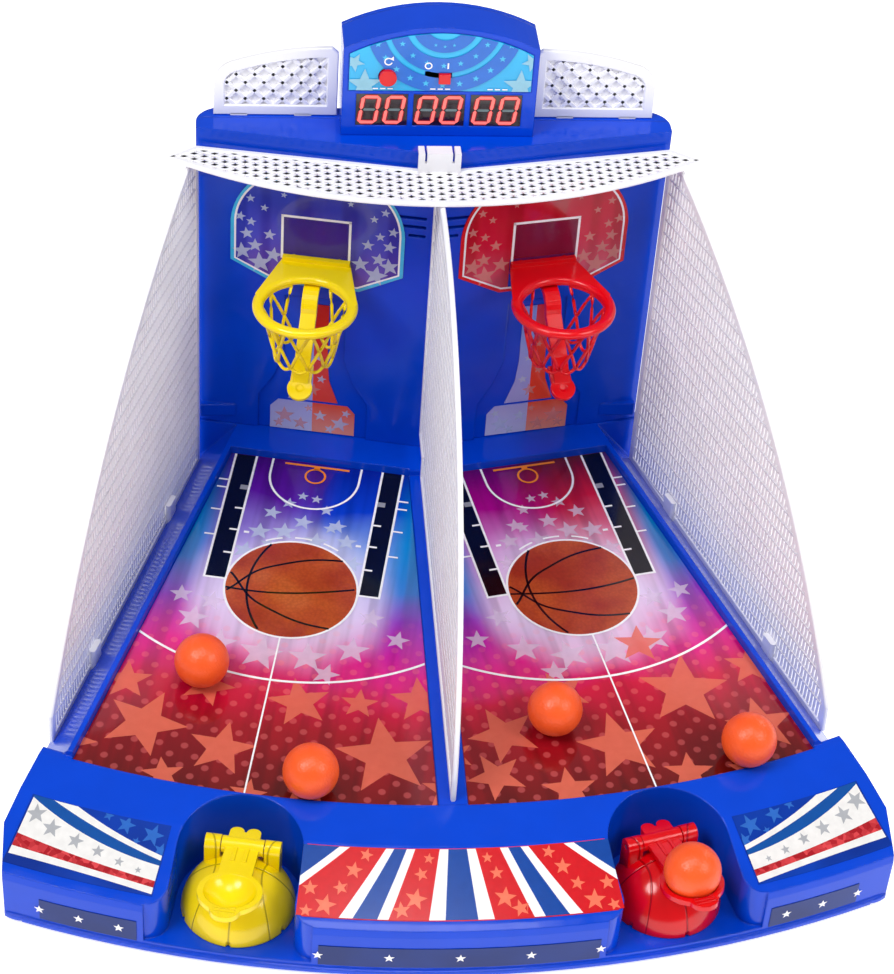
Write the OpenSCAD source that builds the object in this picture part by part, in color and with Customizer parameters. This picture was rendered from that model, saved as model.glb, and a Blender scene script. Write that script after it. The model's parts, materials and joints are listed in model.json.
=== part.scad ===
// Two player tabletop basketball machine: a fan shaped base with two sloping courts, a tower
// with two hoops and a scoreboard, four slatted nets, two finger launchers and five balls.
// +X is right, +Y is back, +Z is up; the origin is under the middle of the machine's box.

/* [Base] */
// Radius of the curved front edge, from the point where the two courts' sides would meet
front_radius = 520; // [518:0.5:522]
// Half of the angle that the launcher console spans
console_angle = 23.3; // [23:0.1:23.5]
// Wall thickness of the moulded shells
wall = 2.4; // [2:0.1:2.8]
// Height of the rubber feet under the base
foot_h = 2; // [1.5:0.1:2.5]
// Diameter of a rubber foot
foot_d = 14; // [10:1:16]

/* [Courts] */
// Turn of each court and backboard away from straight ahead
court_turn = 11; // [10.5:0.1:11.5]
// Height of the court surface at the middle of the machine
court_z = 48.9; // [48:0.1:50]
// Rise of the court surface toward the back
court_slope = 0.072; // [0.068:0.001:0.076]
// Thickness of the printed court cards
card_t = 0.6; // [0.4:0.1:0.8]

/* [Tower] */
// Top of the tower
tower_top = 236; // [232:1:238]
// Half of the tower's width
tower_half = 112; // [111.5:0.1:112.5]
// Middle of the front of the tower
tower_front_y = 126.3; // [125:0.1:127]
// Back of the tower
tower_back_y = 165; // [164:0.5:166]

/* [Scoreboard] */
// Half of the scoreboard's width
board_half = 45; // [44:0.5:46]
// Front of the scoreboard
board_y = 141; // [140:0.5:142]
// Height of the scoreboard's sides above the tower
board_side_h = 46; // [44:1:48]
// Height of the arched top above the sides
board_arch_h = 11; // [9:1:12]
// Width of a two digit display
display_w = 23.8; // [22:0.1:24]
// Height of a two digit display
display_h = 16.6; // [15:0.1:17]

/* [Hoops] */
// Radius of the hoop at the middle of its rim
hoop_r = 22.2; // [21.5:0.1:23]
// Distance of the hoop's middle from the backboard
hoop_reach = 35.4; // [34.5:0.1:36]
// Height of the hoop's middle
hoop_z = 166.2; // [165:0.1:168]
// Height of the moulded hoop net
net_h = 28; // [26:1:29]

/* [Launchers] */
// Radius of the launcher's dome
dome_r = 25.5; // [25:0.1:26]
// Height of the lever's hinge pin
lever_pin_z = 32.2; // [32:0.1:33.4]
// Tilt of the lever at rest
lever_tilt = 10; // [9.5:0.5:10.5]
// Turn of the right launcher at rest, outward from its court
right_turn = 4.5; // [0:0.5:8]

/* [Balls] */
// Diameter of a ball
ball_d = 25; // [24.6:0.1:25]

/* [Hidden] */
$fn = 64;
eps = 0.01;
console_half = 196.6;

blue = "#0a3fd0";
yellow = "#f5d800";
red = "#e0101c";
white = "#f0eef4";
orange = "#ff6a2a";
steel = "#b8bcc2";
black = "#202226";
print_blue = "#2060d0";
print_red = "#d03050";

fan = [0, 355];                 // meeting point of the courts' sides, in plan
console_back_r = 457;
court_front_r = 459;
crest = 4;                      // rim around the courts, above them
console_back_z = 44.6;
label_in_r = 480;
label_in_z = 41;
label_out_r = 515;
label_out_z = 29.6;
flange = 1.2;
well_half = 27.6;
well_floor = 7;
dome_z = 5;                     // height of the launcher dome's centre
ridge = 1;                      // strip between the courts, above them
launcher_r = 490;
launcher_turn = 11.15;
inner_edge = 6.8;
court_back = [94.8, 127];
court_front = [168.1, -72.8];
side_back = [113, 146];
side_front = [181, -50];
skirt_z = 27.5;                 // top of the side wall beside the console
tower_low = 54;                 // below the deck, which cuts the tower's foot to its slope
slope_angle = atan(court_slope);
clear = 0.3;

function court_height(y) = court_z + court_slope * y;
function on_fan(r, a) = [r * sin(a), fan[1] - r * cos(a)];
// Middle of the circle through three points
function circle_mid(p, q, s) =
    let (b = q - p, c = s - p, d = 2 * (b[0] * c[1] - b[1] * c[0]))
    p + [c[1] * (b * b) - b[1] * (c * c), b[0] * (c * c) - c[0] * (b * b)] / d;
// Points of the arc from p through q to s
function arc_through(p, q, s, n) =
    let (m = circle_mid(p, q, s), r = norm(p - m),
         a0 = atan2(p[1] - m[1], p[0] - m[0]), raw = atan2(s[1] - m[1], s[0] - m[0]) - a0,
         turn = raw > 180 ? raw - 360 : raw < -180 ? raw + 360 : raw)
    [for (i = [0 : n]) m + r * [cos(a0 + turn * i / n), sin(a0 + turn * i / n)]];

// Draws its children on the right, or mirrored on the left
module on_side(side) {
    if (side < 0) mirror([1, 0, 0]) children();
    else children();
}

module both() {
    children();
    mirror([1, 0, 0]) children();
}

// Ring shaped slab around the fan's middle, from a profile of radius and height
module fan_sweep(a0, a1) {
    translate([fan[0], fan[1], 0]) rotate([0, 0, -90 + a0]) rotate_extrude(angle = a1 - a0, $fn = 200)
        children();
}

// Everything below the plane of the courts, lifted by dz
module below_court(dz) {
    translate([0, 0, court_z + dz]) rotate([slope_angle, 0, 0]) translate([-250, -250, -120])
        cube([500, 500, 120]);
}

// Everything below the sloping skirt outside a court, on the right
module below_skirt(dz) {
    a = [98, 127, court_height(127) + crest];
    b = [163, -52, court_height(-52) + crest];
    n = cross(b - a, [side_front[0], side_front[1], skirt_z] - a);
    translate([a[0], a[1], a[2] + dz]) rotate([0, acos(n[2] / norm(n)), atan2(n[1], n[0])])
        translate([-300, -300, -400]) cube([600, 600, 400]);
}

module console_profile(inset) {
    polygon([[console_back_r + inset, foot_h - eps], [console_back_r + inset, console_back_z - inset],
        [461, console_back_z - inset], [label_in_r, label_in_z - inset],
        [label_out_r, label_out_z - inset], [label_out_r + 2.8 - inset, label_out_z - 1.2 - inset],
        [front_radius - 1.2 - inset, label_out_z - 4.5], [front_radius - flange - inset, foot_h + 2.6],
        [front_radius - inset, foot_h + 2.2], [front_radius - inset, foot_h - eps]]);
}

// Plan of the base behind the console
module deck_plan(inset) {
    x0 = side_back[0] - inset;
    x1 = side_front[0] - inset;
    front = fan[1] - console_back_r * cos(console_angle) - 6;
    polygon([[-x0, tower_back_y - inset], [-x0, side_back[1]], [-x1, side_front[1]],
        [-x1, front], [-x1 + 60, front - 40], [x1 - 60, front - 40], [x1, front],
        [x1, side_front[1]], [x0, side_back[1]], [x0, tower_back_y - inset]]);
}

module console_ends(inset) {
    a = console_angle - asin(inset / front_radius);
    intersection() {
        fan_sweep(-a, a) console_profile(inset);
        both() translate([0, 0, -1]) linear_extrude(80) {
            difference() {
                translate([-1, -200]) square([197.6 - inset, 280]);
                corner_cut(inset);
            }
        }
    }
}

// Rounds the console's outer front corner
module corner_cut(inset) {
    r = 14;
    c = on_fan(front_radius - r, console_angle - 1.55);
    difference() {
        translate([c[0] + 1.5, c[1] - 30]) square([30, 25.5]);
        translate(c) circle(r - inset);
    }
}

module deck_block(inset) {
    intersection() {
        translate([0, 0, foot_h - eps]) linear_extrude(90) deck_plan(inset);
        below_court(crest - inset);
        below_skirt(-inset * 1.5);
        mirror([1, 0, 0]) below_skirt(-inset * 1.5);
    }
}

// Raised back of the base that carries the tower
module pedestal(inset) {
    intersection() {
        translate([0, 0, foot_h - eps]) linear_extrude(90) intersection() {
            tower_plan(inset - 1);
            translate([-200, 0]) square([400, tower_back_y - inset]);
        }
        below_court(crest - inset);
    }
}

module base_solid(inset) {
    console_ends(inset);
    pedestal(inset);
    difference() {
        deck_block(inset);
        translate([fan[0], fan[1], 0]) difference() {
            translate([0, 0, -1]) cylinder(r = 700, h = 200, $fn = 200);
            translate([0, 0, -2]) cylinder(r = console_back_r + 1 + inset, h = 202, $fn = 200);
        }
    }
}

module at_launcher(side, turn = 0) {
    p = on_fan(launcher_r, launcher_turn);
    on_side(side) translate([p[0], p[1], 0]) rotate([0, 0, launcher_turn + turn]) children();
}

// Plan of a launcher well: round at the back, flared at the open front
module well_plan(grow) {
    r = well_half + grow;
    flare = 9;
    front = -26;
    back = 2.6;
    translate([0, back]) circle(r, $fn = 96);
    translate([-r, -60]) square([2 * r, 60 + back]);
    both() difference() {
        translate([r - 1, front - 20]) square([flare + 1, 20 + flare]);
        translate([r + flare, front + flare]) circle(flare);
    }
}

module court_plan(grow) {
    back_y = court_back[1] - (court_back[0] - inner_edge) * tan(court_turn);
    intersection() {
        polygon([[inner_edge - grow, back_y + grow], [court_back[0] + grow, court_back[1] + grow],
            [court_front[0] + grow, court_front[1] - 1], [court_front[0], -150], [inner_edge - grow, -150]]);
        translate(fan) circle(court_front_r + grow, $fn = 200);
    }
}

module court_recess() {
    difference() {
        both() linear_extrude(120) court_plan(0.3);
        below_court(-card_t);
    }
}

// Lowers the strip between the courts almost to their surface
module ridge_cut() {
    difference() {
        translate([-inner_edge, -110, 30]) cube([2 * inner_edge, 110 + tower_front_y - 17.7, 60]);
        below_court(ridge);
        translate([fan[0], fan[1], 0]) difference() {
            cylinder(r = 700, h = 100, $fn = 200);
            translate([0, 0, -1]) cylinder(r = court_front_r, h = 102, $fn = 200);
        }
    }
}

module base_hollow() {
    intersection() {
        base_solid(wall);
        below_court(-card_t - wall);
    }
}

screw_spots = [[60, -95], [158, -95], [60, 30], [110, 120], [24, 120]];

module base_shell() color(blue) difference() {
    union() {
        difference() {
            base_solid(0);
            base_hollow();
        }
        intersection() {
            base_solid(0);
            both() at_launcher(1) translate([0, 0, foot_h + wall]) linear_extrude(60) well_plan(wall);
        }
        intersection() {
            base_solid(1);
            both() for (p = screw_spots) translate([p[0], p[1], foot_h + wall]) cylinder(d = 7, h = 60);
        }
    }
    court_recess();
    ridge_cut();
    both() at_launcher(1) {
        translate([0, 0, well_floor]) linear_extrude(80) well_plan(0);
        cylinder(d = pivot_d + 0.1, h = 20, center = true);
    }
    both() for (p = screw_spots) translate([p[0], p[1], 0]) cylinder(d = 2.6, h = 26);
}

battery_half = 27;
battery_y = 24;
battery_depth = 52;
tray_wall = 2;
tray_top = 21.4;
module battery_opening(grow) {
    translate([-battery_half - grow, battery_y - grow])
        square([2 * (battery_half + grow), battery_depth + 2 * grow]);
}

// Underside of the console, inside the base's wall
module cover_front_plan() {
    edge = console_angle - 0.55;
    gap = wall + 0.4;
    intersection() {
        difference() {
            translate(fan) circle(front_radius - flange - wall - 1.2, $fn = 200);
            translate(fan) circle(console_back_r, $fn = 200);
            both() corner_cut(gap);
        }
        polygon([fan, on_fan(600, -edge), on_fan(600, 0), on_fan(600, edge)]);
        translate([gap - console_half, -200]) square([2 * (console_half - gap), 300]);
    }
}

module base_bottom_cover() color(blue) {
    translate([0, 0, foot_h]) linear_extrude(wall - 0.4) difference() {
        union() {
            intersection() {
                deck_plan(wall + 0.4);
                translate(fan) circle(console_back_r + 3, $fn = 200);
            }
            cover_front_plan();
        }
        both() translate(on_fan(launcher_r, launcher_turn)) circle(d = 12);
        battery_opening(0);
        both() for (p = screw_spots) translate(p) circle(d = 3.2);
        both() for (p = foot_spots) translate(p) circle(d = 5);
        for (i = [-4 : 4]) translate([i * 4, -20]) square([1.6, 24], center = true);
    }
    difference() {
        translate([0, 0, foot_h + wall - 0.5]) linear_extrude(tray_top) battery_opening(tray_wall);
        translate([0, 0, foot_h + wall - 1]) linear_extrude(tray_top - tray_wall) battery_opening(0);
    }
}

foot_spots = [[100, 148], [170, -78], [36, -148]];
module rubber_feet() color(black) both() for (p = foot_spots) translate([p[0], p[1], 0]) {
    cylinder(d = foot_d, h = foot_h - 0.02);
    cylinder(d = 4.8, h = foot_h + 3);
}

module pan_screw(p, z, length) {
    translate([p[0], p[1], z]) {
        difference() {
            cylinder(d = 5.2, h = 1.6);
            for (a = [0, 90]) rotate([0, 0, a]) translate([-1.6, -0.35, -eps]) cube([3.2, 0.7, 0.8]);
        }
        cylinder(d = 2.58, h = length);
    }
}

module case_screws() color(steel) both() for (p = screw_spots) pan_screw(p, foot_h - 1.62, 16);

// Three AA cells lie across the machine under the courts
cell_d = 14.5;
cell_l = 50.5;
module batteries() color("#4a4d52") for (i = [0 : 2])
    translate([-cell_l / 2, 34 + i * 16.5, foot_h + 11]) rotate([0, 90, 0]) {
        cylinder(d = cell_d, h = cell_l - 1.2);
        cylinder(d = 5.5, h = cell_l);
    }

module battery_contacts() color(steel) for (i = [0 : 2]) both()
    translate([cell_l / 2 + 0.4, 29 + i * 16.5, foot_h + 5]) cube([0.8, 10, 11]);

door_screw_y = battery_y + battery_depth - 5;
module battery_door() color(blue) translate([0, 0, foot_h + 0.1]) linear_extrude(wall - 0.6)
    difference() {
        battery_opening(-clear);
        for (i = [-3 : 3]) translate([i * 3, 32]) square([1.4, 6], center = true);
        translate([0, door_screw_y]) circle(d = 2.7);
    }

module battery_door_screw() color(steel) pan_screw([0, door_screw_y], foot_h - 1.52, 3.6);

// Printed cards

module court_card(side) on_side(side) intersection() {
    linear_extrude(120) court_plan(0);
    below_court(0);
    difference() {
        translate([0, -200, 20]) cube([200, 400, 60]);
        below_court(-card_t + 0.02);
    }
}
module court_card_left() color(print_blue) court_card(-1);
module court_card_right() color(print_red) court_card(1);

// Label on the console's sloping top, between two angles
module console_label(a0, a1) {
    t = 0.3;
    fan_sweep(a0, a1) polygon([[label_in_r + 1.5, label_in_z - 0.47 + 0.02],
        [label_out_r - 1.5, label_out_z + 0.47 + 0.02],
        [label_out_r - 1.5, label_out_z + 0.47 + t], [label_in_r + 1.5, label_in_z - 0.47 + t]]);
}
module outer_label() intersection() {
    console_label(14.9, 22.5);
    difference() {
        translate([0, -200, 0]) cube([200, 200, 80]);
        translate([0, 0, -1]) linear_extrude(90) corner_cut(3);
        at_launcher(1) linear_extrude(80) well_plan(1.6);
    }
}
module console_label_left() color(print_blue) mirror([1, 0, 0]) outer_label();
module console_label_right() color(print_blue) outer_label();
module console_label_centre() color("#c01828") difference() {
    console_label(-8.1, 8.1);
    both() at_launcher(1) linear_extrude(80) well_plan(1.6);
}
module front_star_strips() color("#20108a") difference() {
    fan_sweep(-20.4, 20.4) translate([front_radius - flange + 0.02, 6.5]) square([0.3, 12]);
    both() at_launcher(1) linear_extrude(80) well_plan(3);
}

// Tower

shoulder_x = 106;
module tower_plan(inset) {
    x = tower_half - inset;
    r = 13 - inset;
    back = tower_back_y - inset;
    front_edge = tower_front_y + inset * 1.02;
    shoulder = front_edge + shoulder_x * tan(court_turn);
    intersection() {
        polygon([[0, front_edge], [shoulder_x - inset * 0.2, shoulder], [x, shoulder + 1.2],
            [x, back], [-x, back], [-x, shoulder + 1.2], [-shoulder_x + inset * 0.2, shoulder]]);
        union() {
            square([2 * (x - r), 400], center = true);
            translate([-x, 0]) square([2 * x, back - r]);
            both() translate([x - r, back - r]) circle(r);
        }
    }
}

// Local frame of a backboard: X along the panel, -Y out toward the player
module on_panel(side) {
    on_side(side) translate([0, tower_front_y, 0]) rotate([0, 0, court_turn]) children();
}

split_y = 156;                  // joint between the tower's front and rear shells
panel_mid = 55.5;

stand_low = 63.5;
module stand_plan(grow) {
    polygon([[-21.4 - grow, 50], [21.4 + grow, 50], [21.4 + grow, 78 + grow],
        [14 + grow, 90 + grow], [9 + grow, 110], [9 + grow, 146], [-9 - grow, 146], [-9 - grow, 110],
        [-14 - grow, 90 + grow], [-21.4 - grow, 78 + grow]]);
}

module tower_solid() difference() {
    translate([0, 0, tower_low]) linear_extrude(tower_top - tower_low) tower_plan(0);
    below_court(crest + 0.05);
}

module tower_hollow() translate([0, 0, tower_low - 1])
    linear_extrude(tower_top - tower_low - wall + 1) tower_plan(wall);

module scoreboard_mouth() translate([-board_half + 4, board_y + 4, tower_top - 10])
    cube([2 * board_half - 8, tower_back_y - wall - board_y - 4, 30]);

module wing_slots() for (x = [62, 92]) translate([x - 4.2, 157.8, tower_top - 6]) cube([8.4, 3.4, 20]);

// Fascia that stands a little proud along the tower's top edge
module tower_cap() translate([0, 0, tower_top - 10]) linear_extrude(10) intersection() {
    translate([0, -1.2]) tower_plan(0);
    translate([-200, 0]) square([400, 150]);
}

tower_screw_x = 96;
tower_screw_z = [72, 215];
// Arms inside the front shell that hold a paddle's pin and its switch
module paddle_arms() for (s = [-1, 1]) translate([panel_mid + s * 6.2 - 1, 1.5, 158.6])
    cube([2, 13, 12]);

module tower_front_shell() color(blue) difference() {
    union() {
        difference() {
            union() {
                tower_solid();
                tower_cap();
            }
            tower_hollow();
            translate([-200, split_y, 0]) cube([400, 100, 400]);
        }
        both() {
            on_panel(1) paddle_arms();
            for (z = tower_screw_z) translate([tower_screw_x - 3.5, split_y - 12, z - 3.5])
                cube([tower_half - tower_screw_x + 2, 12, 7]);
        }
    }
    both() on_panel(1) {
        translate([panel_mid, 1, 0]) rotate([90, 0, 0]) linear_extrude(21) stand_plan(6);
        translate([panel_mid - 4.6, -10, 157.4]) cube([9.2, 20, 8.2]);
        for (i = [0 : 2]) translate([4, -10, 198 - i * 5]) cube([14 - i * 3, 20, 1.5]);
        for (x = [-11, 11]) translate([panel_mid + x, 15, 169.5]) rotate([90, 0, 0])
            cylinder(d = 2.6, h = 30);
        at_paddle_pin() cylinder(d = 2.06, h = 30, center = true);
    }
    both() for (z = tower_screw_z) translate([tower_screw_x, split_y + 1, z]) rotate([90, 0, 0])
        cylinder(d = 2.62, h = 11);
    scoreboard_mouth();
    both() wing_slots();
}

module tower_rear_cover() color(blue) difference() {
    union() {
        difference() {
            tower_solid();
            tower_hollow();
        }
        both() for (z = tower_screw_z) translate([tower_screw_x, tower_back_y - 1, z])
            rotate([90, 0, 0]) cylinder(d = 7, h = 12);
    }
    translate([-200, 0, 0]) cube([400, split_y + 0.1, 400]);
    scoreboard_mouth();
    both() wing_slots();
    both() for (z = tower_screw_z) translate([tower_screw_x, tower_back_y, z]) rotate([90, 0, 0]) {
        translate([0, 0, -1]) cylinder(d = 5.6, h = 2.7);
        cylinder(d = 3, h = 20);
    }
    for (i = [-3 : 3]) for (j = [0 : 4]) translate([i * 7, 170, 176 + j * 7]) rotate([90, 0, 0])
        cylinder(d = 3, h = 20);
}

module tower_screws() color(steel) both() for (z = tower_screw_z)
    translate([tower_screw_x, tower_back_y - 0.05, z]) rotate([90, 0, 0]) pan_screw([0, 0], 0, 18);

// Backboards, hoops and paddles, in the panel's frame

module backboard_plan() {
    w = 42;
    polygon(concat([[-21, 153], [21, 153], [w, 164]],
        arc_through([w, 187], [37.5, 202], [28, 213], 8),
        arc_through([-28, 213], [-37.5, 202], [-w, 187], 8), [[-w, 164]]));
}
module backboard_label(side) on_panel(side) difference() {
    translate([panel_mid, -0.02, 0]) rotate([90, 0, 0]) linear_extrude(0.4) backboard_plan();
    translate([panel_mid - 16.6, -5, 150]) cube([33.2, 10, 22]);
}
module backboard_label_left() color(print_blue) backboard_label(-1);
module backboard_label_right() color(print_red) backboard_label(1);

module stand_labels() color("#d8a0b0") both() on_panel(1)
    translate([panel_mid, 0.98, 0]) rotate([90, 0, 0]) linear_extrude(0.4) {
        polygon([[-21.4, stand_low], [21.4, stand_low], [21.4, 77], [17.5, 81.5], [-17.5, 81.5],
            [-21.4, 77]]);
        polygon([[-12.5, 83], [12.5, 83], [8, 96], [6.8, 108], [6.8, 142], [-6.8, 142],
            [-6.8, 108], [-8, 96]]);
    }

rim_w = 5.4;
rim_h = 4.4;
module at_hoop() translate([panel_mid, -hoop_reach, hoop_z]) children();

module hoop(side) on_panel(side) {
    at_hoop() {
        rotate_extrude($fn = 96) translate([hoop_r, 0]) {
            square([rim_w - rim_h, rim_h], center = true);
            for (s = [-1, 1]) translate([s * (rim_w - rim_h) / 2, 0]) circle(d = rim_h, $fn = 32);
        }
        translate([0, 0, -0.2]) linear_extrude(2.4) difference() {
            polygon([[-16.3, hoop_reach - clear], [16.3, hoop_reach - clear], [24.3, 3], [20, -3],
                [-20, -3], [-24.3, 3]]);
            circle(hoop_r, $fn = 96);
        }
        difference() {
            translate([-16.3, hoop_reach - 3.3, -2.4]) cube([32.6, 2.8, 6.8]);
            translate([-5.6, 0, -10]) cube([11.2, 60, 9.4]);
        }
    }
    for (x = [-11, 11]) translate([panel_mid + x, 4, 169.5]) rotate([90, 0, 0]) cylinder(d = 2.5, h = 6);
}
module hoop_left() color(yellow) hoop(-1);
module hoop_right() color(red) hoop(1);

// Moulded net: a ring under the rim, ribs and a smaller ring at the bottom, open at the back
// where the paddle comes in
module net_ring(r, z, a0, a1) translate([0, 0, z]) rotate([0, 0, a0])
    rotate_extrude(angle = a1 - a0) translate([r - 0.85, 0]) square([1.7, 2]);
module hoop_net(side) on_panel(side) at_hoop() {
    top_r = 20.6;
    low_r = 13.6;
    gap = 24;
    top = -rim_h / 2;
    ribs = 9;
    net_ring(top_r, top - 2, 90 + gap, 450 - gap);
    net_ring(low_r, top - net_h, 90 + gap + 4, 450 - gap - 4);
    drop = net_h - 1.4;
    for (i = [0 : ribs]) rotate([0, 0, 90 + gap + 6 + i * (348 - 2 * gap) / ribs])
        translate([low_r, 0, top - net_h + 0.7]) rotate([0, atan((top_r - low_r) / drop), 0])
            translate([-0.6, -1.1, 0]) cube([1.2, 2.2, norm([top_r - low_r, drop]) - 0.5]);
}
module hoop_net_left() color(yellow) hoop_net(-1);
module hoop_net_right() color(red) hoop_net(1);

// Curved lever that a falling ball presses; its pin lies behind the panel
paddle_pin_depth = 5.4;
paddle_pin_z = 162;
module at_paddle_pin() translate([panel_mid, paddle_pin_depth, paddle_pin_z]) rotate([0, 90, 0])
    children();
module paddle(side) on_panel(side) difference() {
    union() {
        translate([panel_mid, 0, 0]) rotate([90, 0, 90]) translate([0, 0, -3.8]) linear_extrude(7.6)
            polygon(concat([[12, 161], [12, 163.2], [-14, 163.2]],
                arc_through([-15, 163.1], [-20.5, 160.4], [-23.6, 153.5], 6),
                [[-38, 138.6], [-44.8, 126.9], [-47, 124.6], [-44.4, 124.2], [-35.6, 137]],
                arc_through([-20.8, 152.4], [-18.2, 158.4], [-14, 160.8], 6)));
        at_paddle_pin() cylinder(d = 5.6, h = 7.6, center = true);
        translate([panel_mid, -46, 125.4]) rotate([30, 0, 0]) translate([0, 0, -1.1]) difference() {
            union() {
                cylinder(d = 12, h = 2.2);
                translate([-5, 0, 0]) cube([10, 12, 2.2]);
            }
            translate([0, 0, 3.6]) sphere(d = 5);
        }
    }
    at_paddle_pin() cylinder(d = 2.1, h = 20, center = true);
}
module score_paddle_left() color(yellow) paddle(-1);
module score_paddle_right() color(red) paddle(1);

module paddle_pins() color(steel) both() on_panel(1) at_paddle_pin() cylinder(d = 2, h = 16, center = true);

module score_switches() color(black) both() on_panel(1) translate([panel_mid - 5, 8.5, 165]) {
    cube([10, 6, 5.5]);
    translate([2, 1, -0.6]) cube([2.4, 2.4, 0.7]);
}

// Scoreboard

display_x = [-26.5, 0, 26.5];
display_z = 241.6;
panel_z = 260.2;
module arch_plan(grow, z0) {
    w = board_half + grow;
    side = tower_top + board_side_h + grow;
    peak = side + board_arch_h;
    polygon(concat([[w, z0], [w, side]], arc_through([w, side], [0, peak], [-w, side], 16), [[-w, z0]]));
}

// Upright slab with the scoreboard's arched outline, from y0 back to y1
module arch_slab(y0, y1, grow, z0) translate([0, y1, 0]) rotate([90, 0, 0]) linear_extrude(y1 - y0)
    arch_plan(grow, z0);

button_x = -24.4;
button_z = 267.5;
module at_button(y) translate([button_x, y, button_z]) rotate([-90, 0, 0]) children();
module scoreboard_front() color(blue) difference() {
    arch_slab(board_y, tower_back_y - 2.7, 0, tower_top + 0.05);
    arch_slab(board_y + wall + 1, tower_back_y + 5, -wall, tower_top - 5);
    for (x = display_x) translate([x - display_w / 2 - 0.1, board_y - 1, display_z - 0.1])
        cube([display_w + 0.2, 10, display_h + 0.2]);
    arch_slab(board_y - 5, board_y + 0.4, -2.6, panel_z - 0.3);
    at_button(board_y - 5) cylinder(d = 8.4, h = 20);
    translate([-7.2, board_y - 5, 264.2]) cube([12, 20, 6]);
}

module scoreboard_rear() color(blue) arch_slab(tower_back_y - 2.5, tower_back_y, 0, tower_top + 0.05);

module scoreboard_label() color("#1f8fe0") difference() {
    arch_slab(board_y - 0.02, board_y + 0.38, -2.9, panel_z);
    at_button(board_y - 5) cylinder(d = 9, h = 20);
    translate([-7.5, board_y - 5, 263.9]) cube([12.6, 20, 6.6]);
}

module display(x) color(black) {
    translate([x - display_w / 2, board_y + 0.2, display_z]) cube([display_w, 4.2, display_h]);
    translate([x - 9, board_y + 4.3, display_z + 6]) cube([18, 3.2, 2]);
}
module display_home() display(display_x[0]);
module display_time() display(display_x[1]);
module display_guest() display(display_x[2]);

board_back = board_y + 7.6;
module main_board() color("#1d6b3a") difference() {
    translate([-41, board_back, 238]) cube([82, 1.6, 38]);
    for (x = [-38, 38]) for (z = [241, 273]) translate([x, board_back - 1, z]) rotate([-90, 0, 0])
        cylinder(d = 2.4, h = 4);
}
module reset_button() color(red) {
    at_button(board_y - 2.2) cylinder(d = 8, h = 6.8);
    at_button(board_y + wall + 1.1) cylinder(d = 10.4, h = 1.2);
}
module power_switch_knob() color(red) {
    translate([-1, board_y - 1.8, 264.7]) cube([5.4, 6.8, 5]);
    translate([-1, board_y + wall + 1.1, 263]) cube([5.4, 1.4, 8.4]);
}
module speaker() color(black) translate([0, 150, 190]) rotate([-90, 0, 0]) {
    cylinder(d = 36, h = 6);
    cylinder(d = 20, h = 12);
}

// Nets and wings

net_t = 2;
net_len = 207;
net_turn = 19.3;
net_base = [110.3, 146.5];
// Local frame of a side net: X runs forward along the side of the base, Z up
module at_side_net() translate([net_base[0], net_base[1], 0]) rotate([0, 0, net_turn - 90]) children();

function net_foot(s) = 37 - 0.054 * s;
net_tabs = [46, 150];
module side_net_outline(inset) {
    top = 225 - inset;
    polygon(concat([[4 + inset, net_foot(0) + inset], [4 + inset, top]],
        arc_through([17 - inset, top], [139 - inset * 0.7, 136.5 - inset * 0.7], [net_len - 1 - inset, 46], 14),
        [[net_len - inset, 30], [net_len - 2 - inset, net_foot(net_len) - 1 + inset]]));
}
// Bands of openings between cross ribs
module slats(z0, count) for (i = [0 : count - 1]) translate([-200, z0 + i * 7.4]) square([500, 5.8]);

module side_net(side) on_side(side) difference() {
    at_side_net() {
        rotate([90, 0, 0]) translate([0, 0, -net_t / 2]) linear_extrude(net_t) difference() {
            side_net_outline(0);
            intersection() {
                side_net_outline(4);
                slats(31, 25);
            }
        }
        for (s = net_tabs) translate([s, -net_t / 2 - 2.2, net_foot(s)]) cube([9, 3, 14]);
    }
    deck_block(-0.05);
    pedestal(-0.05);
}
module side_net_left() color(white) side_net(-1);
module side_net_right() color(white) side_net(1);

centre_t = 2.4;
module centre_outline(inset) {
    foot = ridge + 0.05;
    back = tower_front_y - 1.3 - inset;
    foot_y = tower_front_y - 18 - inset;
    front = -100.5 + inset;
    polygon(concat([[foot_y, court_height(foot_y) + foot + inset], [foot_y, 70], [back, 71],
        [back, 225.6 - inset], [96 + inset, 225.6 - inset]],
        arc_through([95 + inset, 225.4 - inset], [-34 + inset * 0.8, 180 - inset * 0.7], [front, 56], 14),
        [[front, court_height(front) + foot + inset]]));
}
module centre_net() color(white) translate([-centre_t / 2, 0, 0]) rotate([90, 0, 90])
    linear_extrude(centre_t) difference() {
        centre_outline(0);
        intersection() {
            centre_outline(4);
            slats(60, 22);
        }
    }

top_z = 226;
top_t = 2.4;
module top_outline(inset) {
    tip = [124.8 - inset * 2.4, 134.6];
    back_mid = tower_front_y - 2.6 - inset;
    polygon(concat([[0, back_mid], [112 - inset, back_mid + 20 - inset * 0.3], tip],
        arc_through([tip[0], tip[1] - 1.5], [0, 95.5 + inset], [-tip[0], tip[1] - 1.5], 24),
        [[-tip[0], tip[1]], [-112 + inset, back_mid + 20 - inset * 0.3]]));
}
clip_y = tower_front_y - 4.8;
module top_net() color(white) {
    translate([0, 0, top_z]) linear_extrude(top_t) difference() {
        top_outline(0);
        intersection() {
            top_outline(3.4);
            for (i = [-17 : 17]) translate([i * 6.6 - 1.8, 80]) square([3.6, 80]);
        }
    }
    difference() {
        translate([-9.9, clip_y, top_z]) cube([19.8, 2.2, 12.4]);
        for (x = [-6.4, 6.4]) translate([x - 0.5, 100, top_z + 7]) cube([1, 40, 10]);
    }
    translate([-9.9, clip_y, top_z + 10.4]) cube([19.8, 7, 2]);
}

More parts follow.
